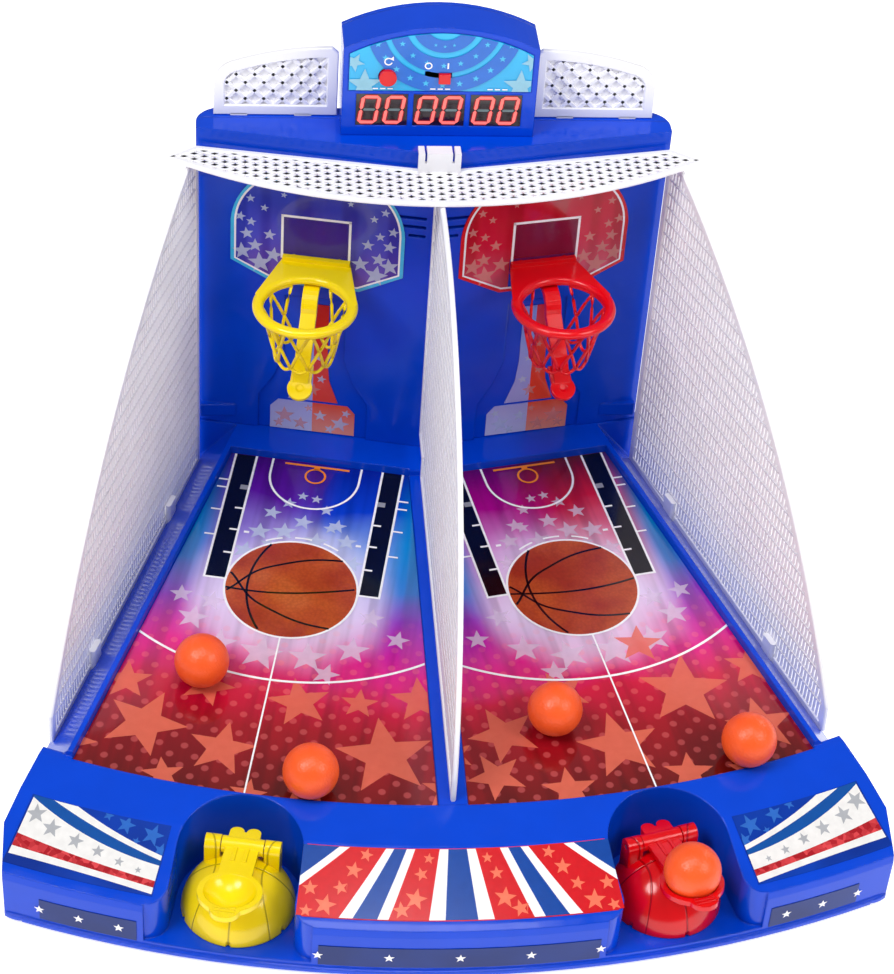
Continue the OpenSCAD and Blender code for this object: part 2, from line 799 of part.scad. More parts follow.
module wing_plan(inset) {
    low = tower_top + 0.1 + inset;
    polygon(concat([[46 + inset, low], [103.8 - inset, low]],
        arc_through([103.8 - inset, 254], [101 - inset * 0.8, 260 - inset * 0.5],
            [93 - inset * 0.4, 264.6 - inset * 0.8], 6),
        arc_through([92 - inset * 0.3, 265 - inset], [70, 270.3 - inset], [49 + inset, 272 - inset], 6),
        [[46 + inset, 269 - inset]]));
}
module wing(side) on_side(side) translate([0, 161, 0]) rotate([90, 0, 0]) difference() {
    union() {
        linear_extrude(3) wing_plan(0);
        for (x = [62, 92]) translate([x - 4, tower_top - 5, 0]) cube([8, 6, 3]);
    }
    translate([0, 0, 2]) linear_extrude(3) difference() {
        wing_plan(5.5);
        for (i = [-4 : 14]) for (a = [-45, 45]) translate([46 + i * 9.6, tower_top + 4]) rotate([0, 0, a])
            square([1.2, 140], center = true);
    }
}
module wing_left() color(white) wing(-1);
module wing_right() color(white) wing(1);

// Launchers: a domed base that swivels on a post, and a sprung lever with a ball cup

module launcher_frame(side) at_launcher(side, side > 0 ? right_turn : 0) children();
pin_back = 11;
ear_x = 13.2;
pivot_d = 4;
module launcher_base(side) launcher_frame(side) difference() {
    union() {
        difference() {
            union() {
                intersection() {
                    translate([0, 0, dome_z]) sphere(dome_r, $fn = 96);
                    translate([0, 0, well_floor + 0.3]) cylinder(r = dome_r + 1, h = 40);
                }
                for (s = [-1, 1]) translate([s * ear_x, pin_back, 0]) {
                    translate([0, 0, lever_pin_z]) rotate([0, 90, 0]) cylinder(d = 8, h = 7, center = true);
                    translate([-3.5, -4, 14]) cube([7, 8, lever_pin_z - 14]);
                }
            }
            translate([0, 0, dome_z]) sphere(dome_r - wall, $fn = 96);
        }
        translate([0, 0, well_floor + 0.3]) cylinder(d = 9, h = dome_r - 3);
    }
    translate([0, pin_back, lever_pin_z]) rotate([0, 90, 0]) cylinder(d = 2.6, h = 60, center = true);
    cylinder(d = pivot_d + 0.1, h = 20);
    for (a = [0 : 5]) rotate([0, 0, a * 60 - 90]) translate([dome_r, 0, well_floor - 1]) cylinder(d = 2.2, h = 4);
}
module launcher_base_left() color(yellow) launcher_base(-1);
module launcher_base_right() color(red) launcher_base(1);

// Headed pivot posts that come up through the wells' floors into the domes
module launcher_pivots() color(steel) both() at_launcher(1) {
    translate([0, 0, foot_h + 0.8]) cylinder(d = 11, h = 1.5);
    translate([0, 0, foot_h + 0.8]) cylinder(d = pivot_d, h = 15);
}

module lever_frame(side) launcher_frame(side) translate([0, pin_back, lever_pin_z])
    rotate([-lever_tilt, 0, 0]) children();
cup_d = 33.2;
cup_r = 14;
ball_seat = 7.6;
tab_d = 44.8;
tab_r = 6.6;
spring_gap = 3.2;
module lever(side) lever_frame(side) difference() {
    union() {
        rotate([0, 90, 0]) cylinder(d = 7.6, h = 18.6, center = true);
        translate([-7.4, -cup_d + 4, -1.2]) cube([14.8, cup_d - 2, 2.4]);
        translate([-6.9, 0, -2]) cube([13.8, 5.2, 5.6]);
        for (s = [-1, 1]) {
            translate([s * 3.7, 5.2, -2]) cylinder(r = 3.2, h = 5.6);
            translate([s * 2.6 - 0.8, -13, 1]) cube([1.6, 14, 0.8]);
        }
        translate([0, -cup_d, -1.2]) cylinder(r = cup_r, h = 2.4);
        intersection() {
            translate([0, -cup_d, ball_seat]) sphere(ball_d / 2 + 2.3);
            translate([0, -cup_d, -8]) cylinder(r = cup_r, h = 8);
        }
        translate([0, -tab_d, -1.2]) cylinder(r = tab_r, h = 2.4);
        translate([-tab_r, -tab_d, -1.2]) cube([2 * tab_r, 6, 2.4]);
        for (i = [0 : 3]) translate([-4.5, -tab_d - 3.6 + i * 1.9, 1.1]) cube([9, 0.8, 0.5]);
    }
    translate([0, -cup_d, ball_seat]) sphere(ball_d / 2 + 0.6);
    rotate([0, 90, 0]) cylinder(d = 2.6, h = 60, center = true);
    rotate([0, 90, 0]) cylinder(d = 6.2, h = 2 * spring_gap, center = true);
    translate([-spring_gap, -3.1, -5]) cube([2 * spring_gap, 6.2, 5]);
}
module lever_left() color(yellow) lever(-1);
module lever_right() color(red) lever(1);

module lever_pin(side) lever_frame(side) rotate([0, 90, 0]) cylinder(d = 2.5, h = 33, center = true);
module lever_pin_left() color(steel) lever_pin(-1);
module lever_pin_right() color(steel) lever_pin(1);

// Close wound torsion spring round the pin
module lever_spring(side) lever_frame(side) for (i = [-2 : 2]) translate([i * 0.96, 0, 0])
    rotate([0, 90, 0]) rotate_extrude() translate([2.3, 0]) circle(d = 1, $fn = 24);
module lever_spring_left() color(steel) lever_spring(-1);
module lever_spring_right() color(steel) lever_spring(1);

// Balls: four lie on the courts, the fifth in the right launcher's cup

ball_xy = [[-110.3, -26], [-62.9, -92.1], [48.9, -57.9], [135.1, -77.7]];
module court_ball(p) color(orange)
    translate([p[0], p[1], court_height(p[1]) + ball_d / 2 / cos(slope_angle) + 0.02])
        sphere(d = ball_d, $fn = 96);
module ball_1() court_ball(ball_xy[0]);
module ball_2() court_ball(ball_xy[1]);
module ball_3() court_ball(ball_xy[2]);
module ball_4() court_ball(ball_xy[3]);
module ball_5() color(orange) lever_frame(1) translate([0, -cup_d, ball_seat - 0.55])
    sphere(d = ball_d, $fn = 96);

// Each named piece
base_shell();
base_bottom_cover();
battery_door();
battery_door_screw();
batteries();
battery_contacts();
rubber_feet();
case_screws();
court_card_left();
court_card_right();
console_label_left();
console_label_centre();
console_label_right();
front_star_strips();
tower_front_shell();
tower_rear_cover();
tower_screws();
backboard_label_left();
backboard_label_right();
stand_labels();
scoreboard_front();
scoreboard_rear();
scoreboard_label();
display_home();
display_time();
display_guest();
reset_button();
power_switch_knob();
main_board();
speaker();
hoop_left();
hoop_right();
hoop_net_left();
hoop_net_right();
score_paddle_left();
score_paddle_right();
paddle_pins();
score_switches();
side_net_left();
side_net_right();
centre_net();
top_net();
wing_left();
wing_right();
launcher_base_left();
launcher_base_right();
launcher_pivots();
lever_left();
lever_right();
lever_pin_left();
lever_pin_right();
lever_spring_left();
lever_spring_right();
ball_1();
ball_2();
ball_3();
ball_4();
ball_5();
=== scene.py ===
import json
import math
import random

import bpy
from mathutils import Matrix, Vector

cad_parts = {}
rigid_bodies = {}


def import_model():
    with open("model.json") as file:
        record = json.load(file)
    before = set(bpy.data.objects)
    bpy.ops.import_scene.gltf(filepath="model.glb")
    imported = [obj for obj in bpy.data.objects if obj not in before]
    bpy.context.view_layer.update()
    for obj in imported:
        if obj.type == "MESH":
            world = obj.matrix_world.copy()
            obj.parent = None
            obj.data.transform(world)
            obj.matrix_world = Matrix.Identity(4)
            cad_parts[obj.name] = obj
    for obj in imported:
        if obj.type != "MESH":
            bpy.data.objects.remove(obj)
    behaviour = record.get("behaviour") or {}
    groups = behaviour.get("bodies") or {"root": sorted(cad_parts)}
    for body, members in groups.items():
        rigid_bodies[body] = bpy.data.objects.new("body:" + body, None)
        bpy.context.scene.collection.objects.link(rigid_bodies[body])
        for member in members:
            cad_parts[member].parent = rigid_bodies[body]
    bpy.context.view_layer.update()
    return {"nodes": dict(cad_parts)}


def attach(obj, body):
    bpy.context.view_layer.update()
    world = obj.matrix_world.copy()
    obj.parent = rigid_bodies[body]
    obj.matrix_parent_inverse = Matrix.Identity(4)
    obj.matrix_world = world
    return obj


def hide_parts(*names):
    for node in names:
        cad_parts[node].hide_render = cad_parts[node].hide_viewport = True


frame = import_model()
NODES = frame["nodes"]
MM = 0.001

# Places and sizes in millimetres, in the frame of the CAD parts
TURN = math.radians(11)  # turn of each court and backboard
PANEL_Y = 126.3  # middle of the tower's front
PANEL_MID = 55.5  # middle of each backboard, along the turned panel
FAN_Y = 355.0  # where the courts' sides would meet
COURT_Z, COURT_SLOPE = 48.9, 0.072  # court height at y = 0, and its rise per millimetre
MID = 48.5  # middle of a court, across it
BALL_S, BALL_R = 106, 31.3  # printed ball: distance from the tower, radius
CONSOLE_R, CONSOLE_Z, CONSOLE_FALL = 480, 41, 0.3257  # the console's sloping top, a cone
LAUNCHER_R, LAUNCHER_TURN = 490, 11.15  # a launcher's distance and angle from the fan's middle
RIGHT_TURN = 4.5  # extra turn of the right launcher at rest, degrees
SEVEN_LEAN = 0.14  # slant of the displays' digits


# ---------- materials


def lin(r, g, b):
    """A screen colour, 0 to 255, as a shader colour."""

    def f(c):
        c /= 255
        return c / 12.92 if c <= 0.04045 else ((c + 0.055) / 1.055) ** 2.4

    return (f(r), f(g), f(b), 1)


class Mat:
    """A node material with a Principled shader; add() makes a node and links sockets given as values."""

    def __init__(self, name, color, rough=0.4, **sockets):
        self.m = bpy.data.materials.new(name)
        self.m.use_nodes = True
        self.nt = self.m.node_tree
        self.b = self.nt.nodes["Principled BSDF"]
        self.b.inputs["Base Color"].default_value = color
        self.b.inputs["Roughness"].default_value = rough
        self.color = color
        for k, v in sockets.items():
            self.b.inputs[k.replace("_", " ")].default_value = v
        self.place = None

    def add(self, kind, ins=None, **props):
        n = self.nt.nodes.new("ShaderNode" + kind)
        for k, v in props.items():
            setattr(n, k, v)
        for k, v in (ins or {}).items():
            s = n.inputs[k]
            if isinstance(v, bpy.types.NodeSocket):
                self.nt.links.new(v, s)
            else:
                s.default_value = v
        return n

    def pos(self):
        if self.place is None:
            self.place = self.add("TexCoord").outputs["Object"]
        return self.place

    def math(self, op, a, b=0.0, clamp=False):
        return self.add("Math", {0: a, 1: b}, operation=op, use_clamp=clamp).outputs[0]

    def plus(self, *values):
        return self.math("ADD", *values)

    def minus(self, *values):
        return self.math("SUBTRACT", *values)

    def times(self, *values):
        return self.math("MULTIPLY", *values)

    def absolute(self, value):
        return self.math("ABSOLUTE", value)

    def dot(self, v):
        return self.add("VectorMath", {0: self.pos(), 1: v}, operation="DOT_PRODUCT").outputs["Value"]

    def ramp(self, fac, stops, interp="LINEAR"):
        n = self.add("ValToRGB", {0: fac})
        cr = n.color_ramp
        cr.interpolation = interp
        while len(cr.elements) < len(stops):
            cr.elements.new(0.5)
        for e, (p, c) in zip(cr.elements, stops):
            e.position = p
            e.color = c
        return n.outputs[0]

    def mix(self, fac, a, b, kind="MIX"):
        n = self.add("Mix", data_type="RGBA", blend_type=kind, clamp_factor=True)
        for k, v in ((0, fac), (6, a), (7, b)):
            if isinstance(v, bpy.types.NodeSocket):
                self.nt.links.new(v, n.inputs[k])
            else:
                n.inputs[k].default_value = v
        return n.outputs[2]

    def set(self, name, socket):
        self.nt.links.new(socket, self.b.inputs[name])

    def noise(self, scale, detail=3.0, rough=0.5, vec=None):
        ins = {"Vector": vec or self.pos(), "Scale": scale, "Detail": detail, "Roughness": rough}
        return self.add("TexNoise", ins).outputs["Fac"]

    def bump(self, height, strength, distance, edge=0.0):
        ins = {"Strength": strength, "Distance": distance, "Height": height}
        if edge:
            ins["Normal"] = self.add("Bevel", {"Radius": edge}, samples=4).outputs[0]
        self.set("Normal", self.add("Bump", ins).outputs[0])

    def vary(self, amount=0.06, scale=40.0, rough_amount=0.08):
        """Slow drift of tone and gloss, as moulding gives."""
        c = self.color
        low = tuple(v * (1 - amount) for v in c[:3]) + (1,)
        high = tuple(min(1, v * (1 + amount)) for v in c[:3]) + (1,)
        self.set("Base Color", self.ramp(self.noise(scale), [(0.3, low), (0.7, high)]))
        r = self.b.inputs["Roughness"].default_value
        spread = {"Value": self.noise(scale * 3.1), "From Min": 0.3, "From Max": 0.7,
                  "To Min": max(0.03, r - rough_amount / 2), "To Max": r + rough_amount}
        self.set("Roughness", self.add("MapRange", spread).outputs[0])


def plastic(name, color, rough=0.25, grain=900.0, depth=0.00002, strength=0.25, amount=0.05, edge=0.0, **kw):
    """Moulded plastic: fine grain, slow drift of tone, and edges rounded by the radius edge in metres."""
    p = Mat(name, color, rough, **kw)
    p.vary(amount)
    p.bump(p.noise(grain, 2.0), strength, depth, edge)
    return p


m_blue = plastic("gloss_blue_abs", lin(0, 68, 208), 0.13, 500, 0.00002, 0.2, 0.05, 0.0011,
                 Specular_IOR_Level=0.34)
m_cover = plastic("satin_blue_abs", lin(0, 40, 150), 0.42, 1400, 0.00006, 0.5)
m_white = plastic("white_net_plastic", lin(247, 246, 250), 0.33, 700, 0.00003, 0.25, 0.02)
# the cross ribs: the white net plastic made darker, painted shade under the ribs
m_rib_painted_shade = plastic("net_plastic_painted_shade", lin(222, 220, 228), 0.5, 700, 0.00003, 0.25, 0.04)
m_yellow = plastic("gloss_yellow_abs", lin(255, 222, 0), 0.17, 600, 0.00003, 0.25, 0.04, 0.0006)
m_red = plastic("gloss_red_abs", lin(222, 2, 16), 0.17, 600, 0.00003, 0.25, 0.05, 0.0006)
m_rubber = plastic("black_rubber", lin(28, 28, 30), 0.7, 1800, 0.00008, 0.6, 0.1)
m_black = plastic("black_plastic", lin(20, 21, 24), 0.45, 1200, 0.00005, 0.4, 0.1)
m_circuit = plastic("green_circuit_board", lin(20, 92, 50), 0.35, 300, 0.00004, 0.3, 0.2)
m_steel = Mat("brushed_steel", lin(176, 178, 184), 0.3, Metallic=1.0)
m_steel.vary(0.1, 300)
m_steel.bump(m_steel.noise(2500, 1.0), 0.3, 0.00002)
m_battery = plastic("battery_sleeve", lin(44, 46, 52), 0.25, 300, 0.00003, 0.2, 0.15)


def ball_material():
    m = Mat("orange_pebbled_rubber", lin(255, 92, 30), 0.36, Specular_IOR_Level=0.5)
    m.vary(0.05, 120, 0.06)
    cells = m.add("TexVoronoi", {"Vector": m.pos(), "Scale": 1150.0}, feature="SMOOTH_F1")
    m.bump(m.minus(1.0, cells.outputs["Distance"]), 0.55, 0.00022)
    return m


m_ball = ball_material()


def display_material():
    m = Mat("display_window", lin(26, 14, 16), 0.12, Coat_Weight=0.5)
    grid = m.noise(900, 1.0)
    m.set("Base Color", m.ramp(grid, [(0.35, lin(20, 8, 10)), (0.65, lin(44, 18, 20))]))
    return m


def lit_material(name, color, glow, power):
    m = Mat(name, color, 0.35)
    m.vary(0.08, 500, 0.03)
    m.b.inputs["Emission Color"].default_value = glow
    m.b.inputs["Emission Strength"].default_value = power
    return m


m_display = display_material()
m_segment = lit_material("lit_segment", lin(255, 120, 110), lin(255, 96, 90), 0.55)
# a glowing dark red ring round each lit segment: painted glow of the segment's light spilling into the window
m_painted_glow = lit_material("segment_painted_glow", lin(130, 0, 8), lin(150, 0, 6), 0.25)
m_unlit = plastic("unlit_segment", lin(110, 128, 128), 0.4, 900, 0.00002, 0.2, 0.08)


def ink(name, color, alpha=1.0, rough=0.16):
    """Printed ink under a clear film; alpha under 1 lets the print below show through."""
    m = Mat(name, color, rough, Coat_Weight=0.3, Coat_Roughness=0.08)
    m.vary(0.05, 260, 0.04)
    if alpha < 1:
        m.b.inputs["Alpha"].default_value = alpha
    return m


# red, green and blue of each ink, then how far it covers, and its roughness
INK_COLOURS = {
    "blaze": (255, 122, 96, 0.62),
    "white": (250, 248, 252),
    "black": (8, 9, 14, 1, 0.12),
    "grey": (150, 152, 160),
    "orange": (250, 140, 40),
    "pale": (246, 226, 250, 0.5),
    "ice": (214, 226, 255, 0.62),
    "rose": (250, 170, 160, 0.5),
    "midblue": (8, 104, 206),
    "skyblue": (60, 190, 236),
    "mist": (150, 206, 226, 0.85),
    "steelblue": (0, 78, 160),
    "cream": (240, 238, 236),
    "silver": (176, 178, 184),
    "dusk": (40, 104, 196),
    "red": (214, 10, 26),
    "coral": (255, 120, 90),
    "deepblue": (0, 68, 160),
    "purple": (54, 30, 150, 0.75),
    "wine": (120, 12, 60, 0.7),
}
INK = {name: ink("ink_" + name, lin(*c[:3]), *c[3:]) for name, c in INK_COLOURS.items()}


def glitter(name, dark, light, scale=420.0):
    """Ink with fine sparkling flakes."""
    m = Mat(name, dark, 0.2, Coat_Weight=0.3)
    v = m.add("TexVoronoi", {"Vector": m.pos(), "Scale": scale}).outputs["Color"]
    g = m.add("RGBToBW", {0: v}).outputs[0]
    m.set("Base Color", m.ramp(g, [(0.3, dark), (0.55, light), (0.8, dark)]))
    return m


INK["glitter"] = glitter("ink_red_glitter", lin(170, 14, 30), lin(226, 70, 76))


def basketball_ink():
    """Brown pebbled leather, as printed."""
    m = Mat("ink_basketball", lin(190, 76, 30), 0.2, Coat_Weight=0.3)
    tone = m.noise(34, 2.0)
    cells = m.add("TexVoronoi", {"Vector": m.pos(), "Scale": 700.0}).outputs["Distance"]
    base = m.ramp(tone, [(0.3, lin(164, 50, 26)), (0.52, lin(196, 84, 34)), (0.75, lin(212, 116, 56))])
    m.set("Base Color", m.mix(m.times(cells, 0.45, True), base, lin(120, 40, 22)))
    return m


INK["ball"] = basketball_ink()


def local_frame(m, side):
    """Sockets t (across, from the tower's middle) and s (toward the player), in metres, of a court."""
    c, s = math.cos(TURN), math.sin(TURN)
    p = PANEL_Y * MM
    t = m.minus(m.dot((side * c, s, 0)), p * s)
    out = m.plus(m.dot((side * s, -c, 0)), p * c)
    return t, out


def smooth(m, value, low, high, top=1.0):
    """A soft step from 0 to top as value goes from low to high."""
    ins = {"Value": value, "From Min": low, "From Max": high, "To Min": 0.0, "To Max": top}
    return m.add("MapRange", ins, interpolation_type="SMOOTHSTEP").outputs[0]


def distance(m, a, b):
    """Length of the vector whose parts are the sockets a and b."""
    return m.math("SQRT", m.plus(m.times(a, a), m.times(b, b)))


def court_material(side):
    """Bands of colour from the tower to the player, with a glow round the ball, streaks and dots."""
    name = "court_print_" + ("left" if side < 0 else "right")
    m = Mat(name, lin(200, 0, 120), 0.1, Coat_Weight=0.5, Coat_Roughness=0.05)
    t, s = local_frame(m, side)
    wob = m.times(m.minus(m.noise(22, 3.0), 0.5), 0.03)
    sw = m.plus(s, wob)
    unit = m.math("DIVIDE", sw, 0.24)

    def along(rows):
        return m.ramp(unit, [(p / 240, lin(*c)) for p, c in [*rows, *front]])

    front = [(150, (222, 0, 132)), (172, (206, 6, 58)), (194, (160, 12, 30)), (234, (104, 14, 12))]
    if side < 0:
        inner = [(16, (4, 30, 150)), (50, (10, 60, 200)), (80, (130, 170, 236)), (118, (220, 180, 236))]
        outer = [(16, (70, 0, 120)), (44, (96, 20, 160)), (74, (150, 130, 220)), (118, (224, 190, 240))]
    else:
        inner = [(16, (92, 0, 96)), (46, (170, 0, 130)), (78, (214, 130, 206)), (118, (226, 190, 240))]
        outer = [(16, (90, 16, 24)), (46, (206, 20, 44)), (78, (228, 120, 150)), (118, (224, 184, 236))]
    edge = along([(16, (0, 60, 170)), (70, (0, 140, 214)), (98, (60, 130, 214)), (118, (150, 60, 190))])
    col = m.mix(smooth(m, t, 0.034, 0.064), along(inner), along(outer))
    across = m.minus(t, MID * MM)
    away = m.absolute(across)
    col = m.mix(smooth(m, away, 0.038, 0.052), col, edge)
    # pale glow round the printed ball
    r = distance(m, across, m.minus(sw, 0.110))
    glow = m.minus(1.0, smooth(m, r, 0.030, 0.056), True)
    col = m.mix(m.times(glow, 0.62), col, lin(236, 226, 250))
    # soft streaks along the court
    stretched = m.add("CombineXYZ", {"X": t, "Y": m.times(s, 0.06)}).outputs[0]
    streak = m.noise(120.0, 2.0, 0.5, stretched)
    col = m.mix(smooth(m, streak, 0.42, 0.66, 0.3), col, lin(40, 6, 60), "MULTIPLY")
    # rows of round dots, fading in toward the player
    u = m.times(m.plus(t, s), 88.0)
    v = m.times(m.minus(t, s), 88.0)
    fu = m.minus(m.math("FRACT", u), 0.5)
    fv = m.minus(m.math("FRACT", v), 0.5)
    dots = m.minus(1.0, smooth(m, distance(m, fu, fv), 0.17, 0.25), True)
    dots = m.times(dots, smooth(m, s, 0.105, 0.16, 0.24))
    col = m.mix(dots, col, lin(255, 120, 120))
    m.set("Base Color", col)
    return m


def board_material(side):
    """Backboard print, paler toward its foot, with upright streaks."""
    name = "backboard_print_" + ("left" if side < 0 else "right")
    m = Mat(name, lin(40, 40, 170), 0.12, Coat_Weight=0.4, Coat_Roughness=0.05)
    z = m.dot((0, 0, 1))
    up = m.math("DIVIDE", m.minus(z, 0.153), 0.06)
    t, _ = local_frame(m, side)
    if side < 0:
        col = m.ramp(up, [(0.0, lin(112, 84, 170)), (0.45, lin(70, 80, 200)), (1.0, lin(10, 36, 168))])
        dark = lin(60, 70, 190)
    else:
        col = m.ramp(up, [(0.0, lin(206, 96, 120)), (0.45, lin(206, 26, 60)), (1.0, lin(190, 10, 30))])
        dark = lin(200, 60, 90)
    band = m.noise(90, 0.0, 0.5, m.add("CombineXYZ", {"X": t}).outputs[0])
    m.set("Base Color", m.mix(smooth(m, band, 0.45, 0.6, 0.5), col, dark, "MULTIPLY"))
    return m


def stand_material():
    """Print on the stands under the hoops: cool on the left of each, warm on its right."""
    m = Mat("stand_print", lin(220, 150, 160), 0.14, Coat_Weight=0.4)
    x = m.add("SeparateXYZ", {0: m.pos()}).outputs[0]
    t = m.minus(m.math("DIVIDE", m.absolute(x), math.cos(TURN)), PANEL_MID * MM)
    right = m.math("GREATER_THAN", m.times(t, m.math("SIGN", x)))
    z = m.math("DIVIDE", m.minus(m.dot((0, 0, 1)), 0.063), 0.08)
    cool = m.ramp(z, [(0.0, lin(206, 206, 232)), (0.25, lin(166, 168, 226)), (1.0, lin(120, 150, 226))])
    warm = m.ramp(z, [(0.0, lin(246, 160, 130)), (0.25, lin(232, 70, 44)), (1.0, lin(206, 22, 22))])
    m.set("Base Color", m.mix(right, cool, warm))
    return m


def score_material():
    """Bright blue scoreboard print."""
    m = Mat("scoreboard_print", lin(0, 176, 236), 0.16, Coat_Weight=0.4)
    z = m.math("DIVIDE", m.minus(m.dot((0, 0, 1)), 0.26), 0.03)
    m.set("Base Color", m.ramp(m.plus(z, m.times(m.noise(60), 0.2)),
                               [(0.0, lin(20, 168, 226)), (1.0, lin(0, 186, 242))]))
    return m


def label_material(name, c0, c1):
    """Plain label ground, drifting between two tones."""
    m = Mat(name, c0, 0.22, Specular_IOR_Level=0.35)
    m.set("Base Color", m.ramp(m.noise(30, 2.0), [(0.35, c0), (0.65, c1)]))
    return m


def dome_material(name, color, side, turn):
    """Moulded seam lines of a basketball on a launcher's dome, in the launcher's own directions, with painted
    shade in their grooves.
    """
    m = Mat(name, color, 0.16)
    rest, a = math.radians(LAUNCHER_TURN), math.radians(LAUNCHER_TURN + turn)
    px, py = LAUNCHER_R * MM * math.sin(rest), FAN_Y * MM - LAUNCHER_R * MM * math.cos(rest)
    c, s = math.cos(a), math.sin(a)
    x = m.minus(m.dot((side * c, s, 0)), px * c + py * s)
    y = m.minus(m.dot((-side * s, c, 0)), py * c - px * s)
    ax = m.absolute(x)
    bow = m.plus(m.times(m.times(y, y), 19.5), 0.0105)
    side_seam = m.absolute(m.minus(ax, bow))
    cross_seam = m.absolute(m.minus(y, 0.002))
    near = m.math("MINIMUM", m.math("MINIMUM", ax, side_seam), cross_seam)
    groove_and_painted_shade = smooth(m, near, 0.0001, 0.0006)
    # the seam grooves are painted at half the colour: painted shade in the grooves, besides their bump
    dark, dull = (tuple(v * k for v in color[:3]) + (1,) for k in (0.5, 0.94))
    m.set("Base Color", m.mix(groove_and_painted_shade, dark, m.ramp(m.noise(60), [(0.3, dull), (0.7, color)])))
    grain = m.times(m.noise(600, 2.0), 0.03)
    m.bump(m.plus(groove_and_painted_shade, grain), 0.7, 0.0004, 0.0006)
    return m


def dress(material, *nodes):
    """Gives CAD parts their material."""
    for n in nodes:
        o = NODES[n]
        o.data.materials.clear()
        o.data.materials.append(material.m)


SIDES = ((-1, "left", m_yellow), (1, "right", m_red))
dress(m_blue, "base_shell", "tower_front_shell", "tower_rear_cover", "scoreboard_front", "scoreboard_rear")
dress(m_cover, "base_bottom_cover", "battery_door")
dress(m_steel, "battery_door_screw", "case_screws", "tower_screws", "paddle_pins", "launcher_pivots",
      "lever_pin_left", "lever_pin_right", "lever_spring_left", "lever_spring_right", "battery_contacts")
dress(m_battery, "batteries")
dress(m_rubber, "rubber_feet")
dress(m_black, "speaker", "score_switches")
dress(m_circuit, "main_board")
dress(m_display, "display_home", "display_time", "display_guest")
dress(m_red, "reset_button", "power_switch_knob")
dress(m_white, "side_net_left", "side_net_right", "centre_net", "top_net", "wing_left", "wing_right")
dress(m_ball, "ball_1", "ball_2", "ball_3", "ball_4", "ball_5")
dress(stand_material(), "stand_labels")
dress(score_material(), "scoreboard_label")
dress(label_material("console_navy_print", lin(0, 44, 140), lin(2, 60, 172)),
      "console_label_left", "console_label_right")
dress(label_material("console_red_print", lin(206, 8, 22), lin(226, 30, 40)), "console_label_centre")
dress(label_material("front_strip_print", lin(2, 34, 104), lin(4, 44, 124)), "front_star_strips")
for side, word, toy in SIDES:
    dress(court_material(side), "court_card_" + word)
    dress(board_material(side), "backboard_label_" + word)
    dress(toy, "hoop_" + word, "hoop_net_" + word, "score_paddle_" + word, "lever_" + word)
    dress(dome_material("dome_" + word, toy.color, side, RIGHT_TURN if side > 0 else 0.0),
          "launcher_base_" + word)


# ---------- mesh tools


def make(name, verts, faces, mats, ids=None, body="machine", smooth=False, replaces=(), slot=None):
    """A piece from points in millimetres, riding on a body."""
    me = bpy.data.meshes.new(name)
    me.from_pydata([Vector(v) * MM for v in verts], [], faces)
    for m in mats:
        me.materials.append(m.m)
    if ids:
        me.polygons.foreach_set("material_index", ids)
    me.validate()
    o = bpy.data.objects.new(name, me)
    bpy.context.scene.collection.objects.link(o)
    if smooth:
        me.polygons.foreach_set("use_smooth", [True] * len(me.polygons))
    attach(o, body)
    if replaces:
        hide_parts(*replaces)


def signed_area(poly):
    """Twice the area of a closed outline, positive when it runs anticlockwise."""
    return sum(p[0] * q[1] - q[0] * p[1] for p, q in zip(poly, poly[1:] + poly[:1]))


def clip(poly, inside, cut):
    """Keeps the part of poly whose points are inside."""
    out = []
    for i, p in enumerate(poly):
        q = poly[(i + 1) % len(poly)]
        a, b = inside(p), inside(q)
        if a:
            out.append(p)
        if a != b:
            out.append(cut(p, q))
    return out


def clip_line(poly, a, b):
    """Keeps the part of poly to the left of the line from a to b."""

    def d(p):
        return (b[0] - a[0]) * (p[1] - a[1]) - (b[1] - a[1]) * (p[0] - a[0])

    def cut(p, q):
        k = d(p) / (d(p) - d(q))
        return (p[0] + k * (q[0] - p[0]), p[1] + k * (q[1] - p[1]))

    return clip(poly, lambda p: d(p) >= -1e-9, cut)


def clip_convex(poly, border):
    """Keeps the part of poly within a convex, anticlockwise border."""
    for i in range(len(border)):
        if len(poly) < 3:
            return []
        poly = clip_line(poly, border[i], border[(i + 1) % len(border)])
    return poly if len(poly) > 2 else []


def star(x, y, r, turn=0.0, inner=0.42):
    """A five-pointed star; at turn 0 its first point looks along the second axis."""
    out = []
    for k in range(10):
        reach = r if k % 2 == 0 else r * inner
        angle = turn + k * math.pi / 5
        out.append((x + reach * math.sin(angle), y + reach * math.cos(angle)))
    return out


def squeezed(poly, k):
    """The outline with its first coordinate scaled, from millimetres to degrees round an arc."""
    return [(q[0] * k, q[1]) for q in poly]


def disc(x, y, r, n=48):
    return [(x + r * math.cos(2 * math.pi * k / n), y + r * math.sin(2 * math.pi * k / n)) for k in range(n)]


def rect(x0, y0, x1, y1):
    return [(x0, y0), (x1, y0), (x1, y1), (x0, y1)]


def band(points, width):
    """Quads along a polyline in the plane."""
    out = []
    n = len(points)

    def side(i):
        a, b = points[max(0, i - 1)], points[min(n - 1, i + 1)]
        dx, dy = b[0] - a[0], b[1] - a[1]
        k = width / 2 / math.hypot(dx, dy)
        p = points[i]
        return (p[0] - dy * k, p[1] + dx * k), (p[0] + dy * k, p[1] - dx * k)

    sides = [side(i) for i in range(n)]
    for (a, b), (c, d) in zip(sides, sides[1:]):
        out.append([a, c, d, b])
    return out


def arc_points(x, y, r, a0, a1, n=40):
    """Points on an arc from angle a0 to a1, in degrees."""
    angles = [math.radians(a0 + (a1 - a0) * k / n) for k in range(n + 1)]
    return [(x + r * math.cos(a), y + r * math.sin(a)) for a in angles]


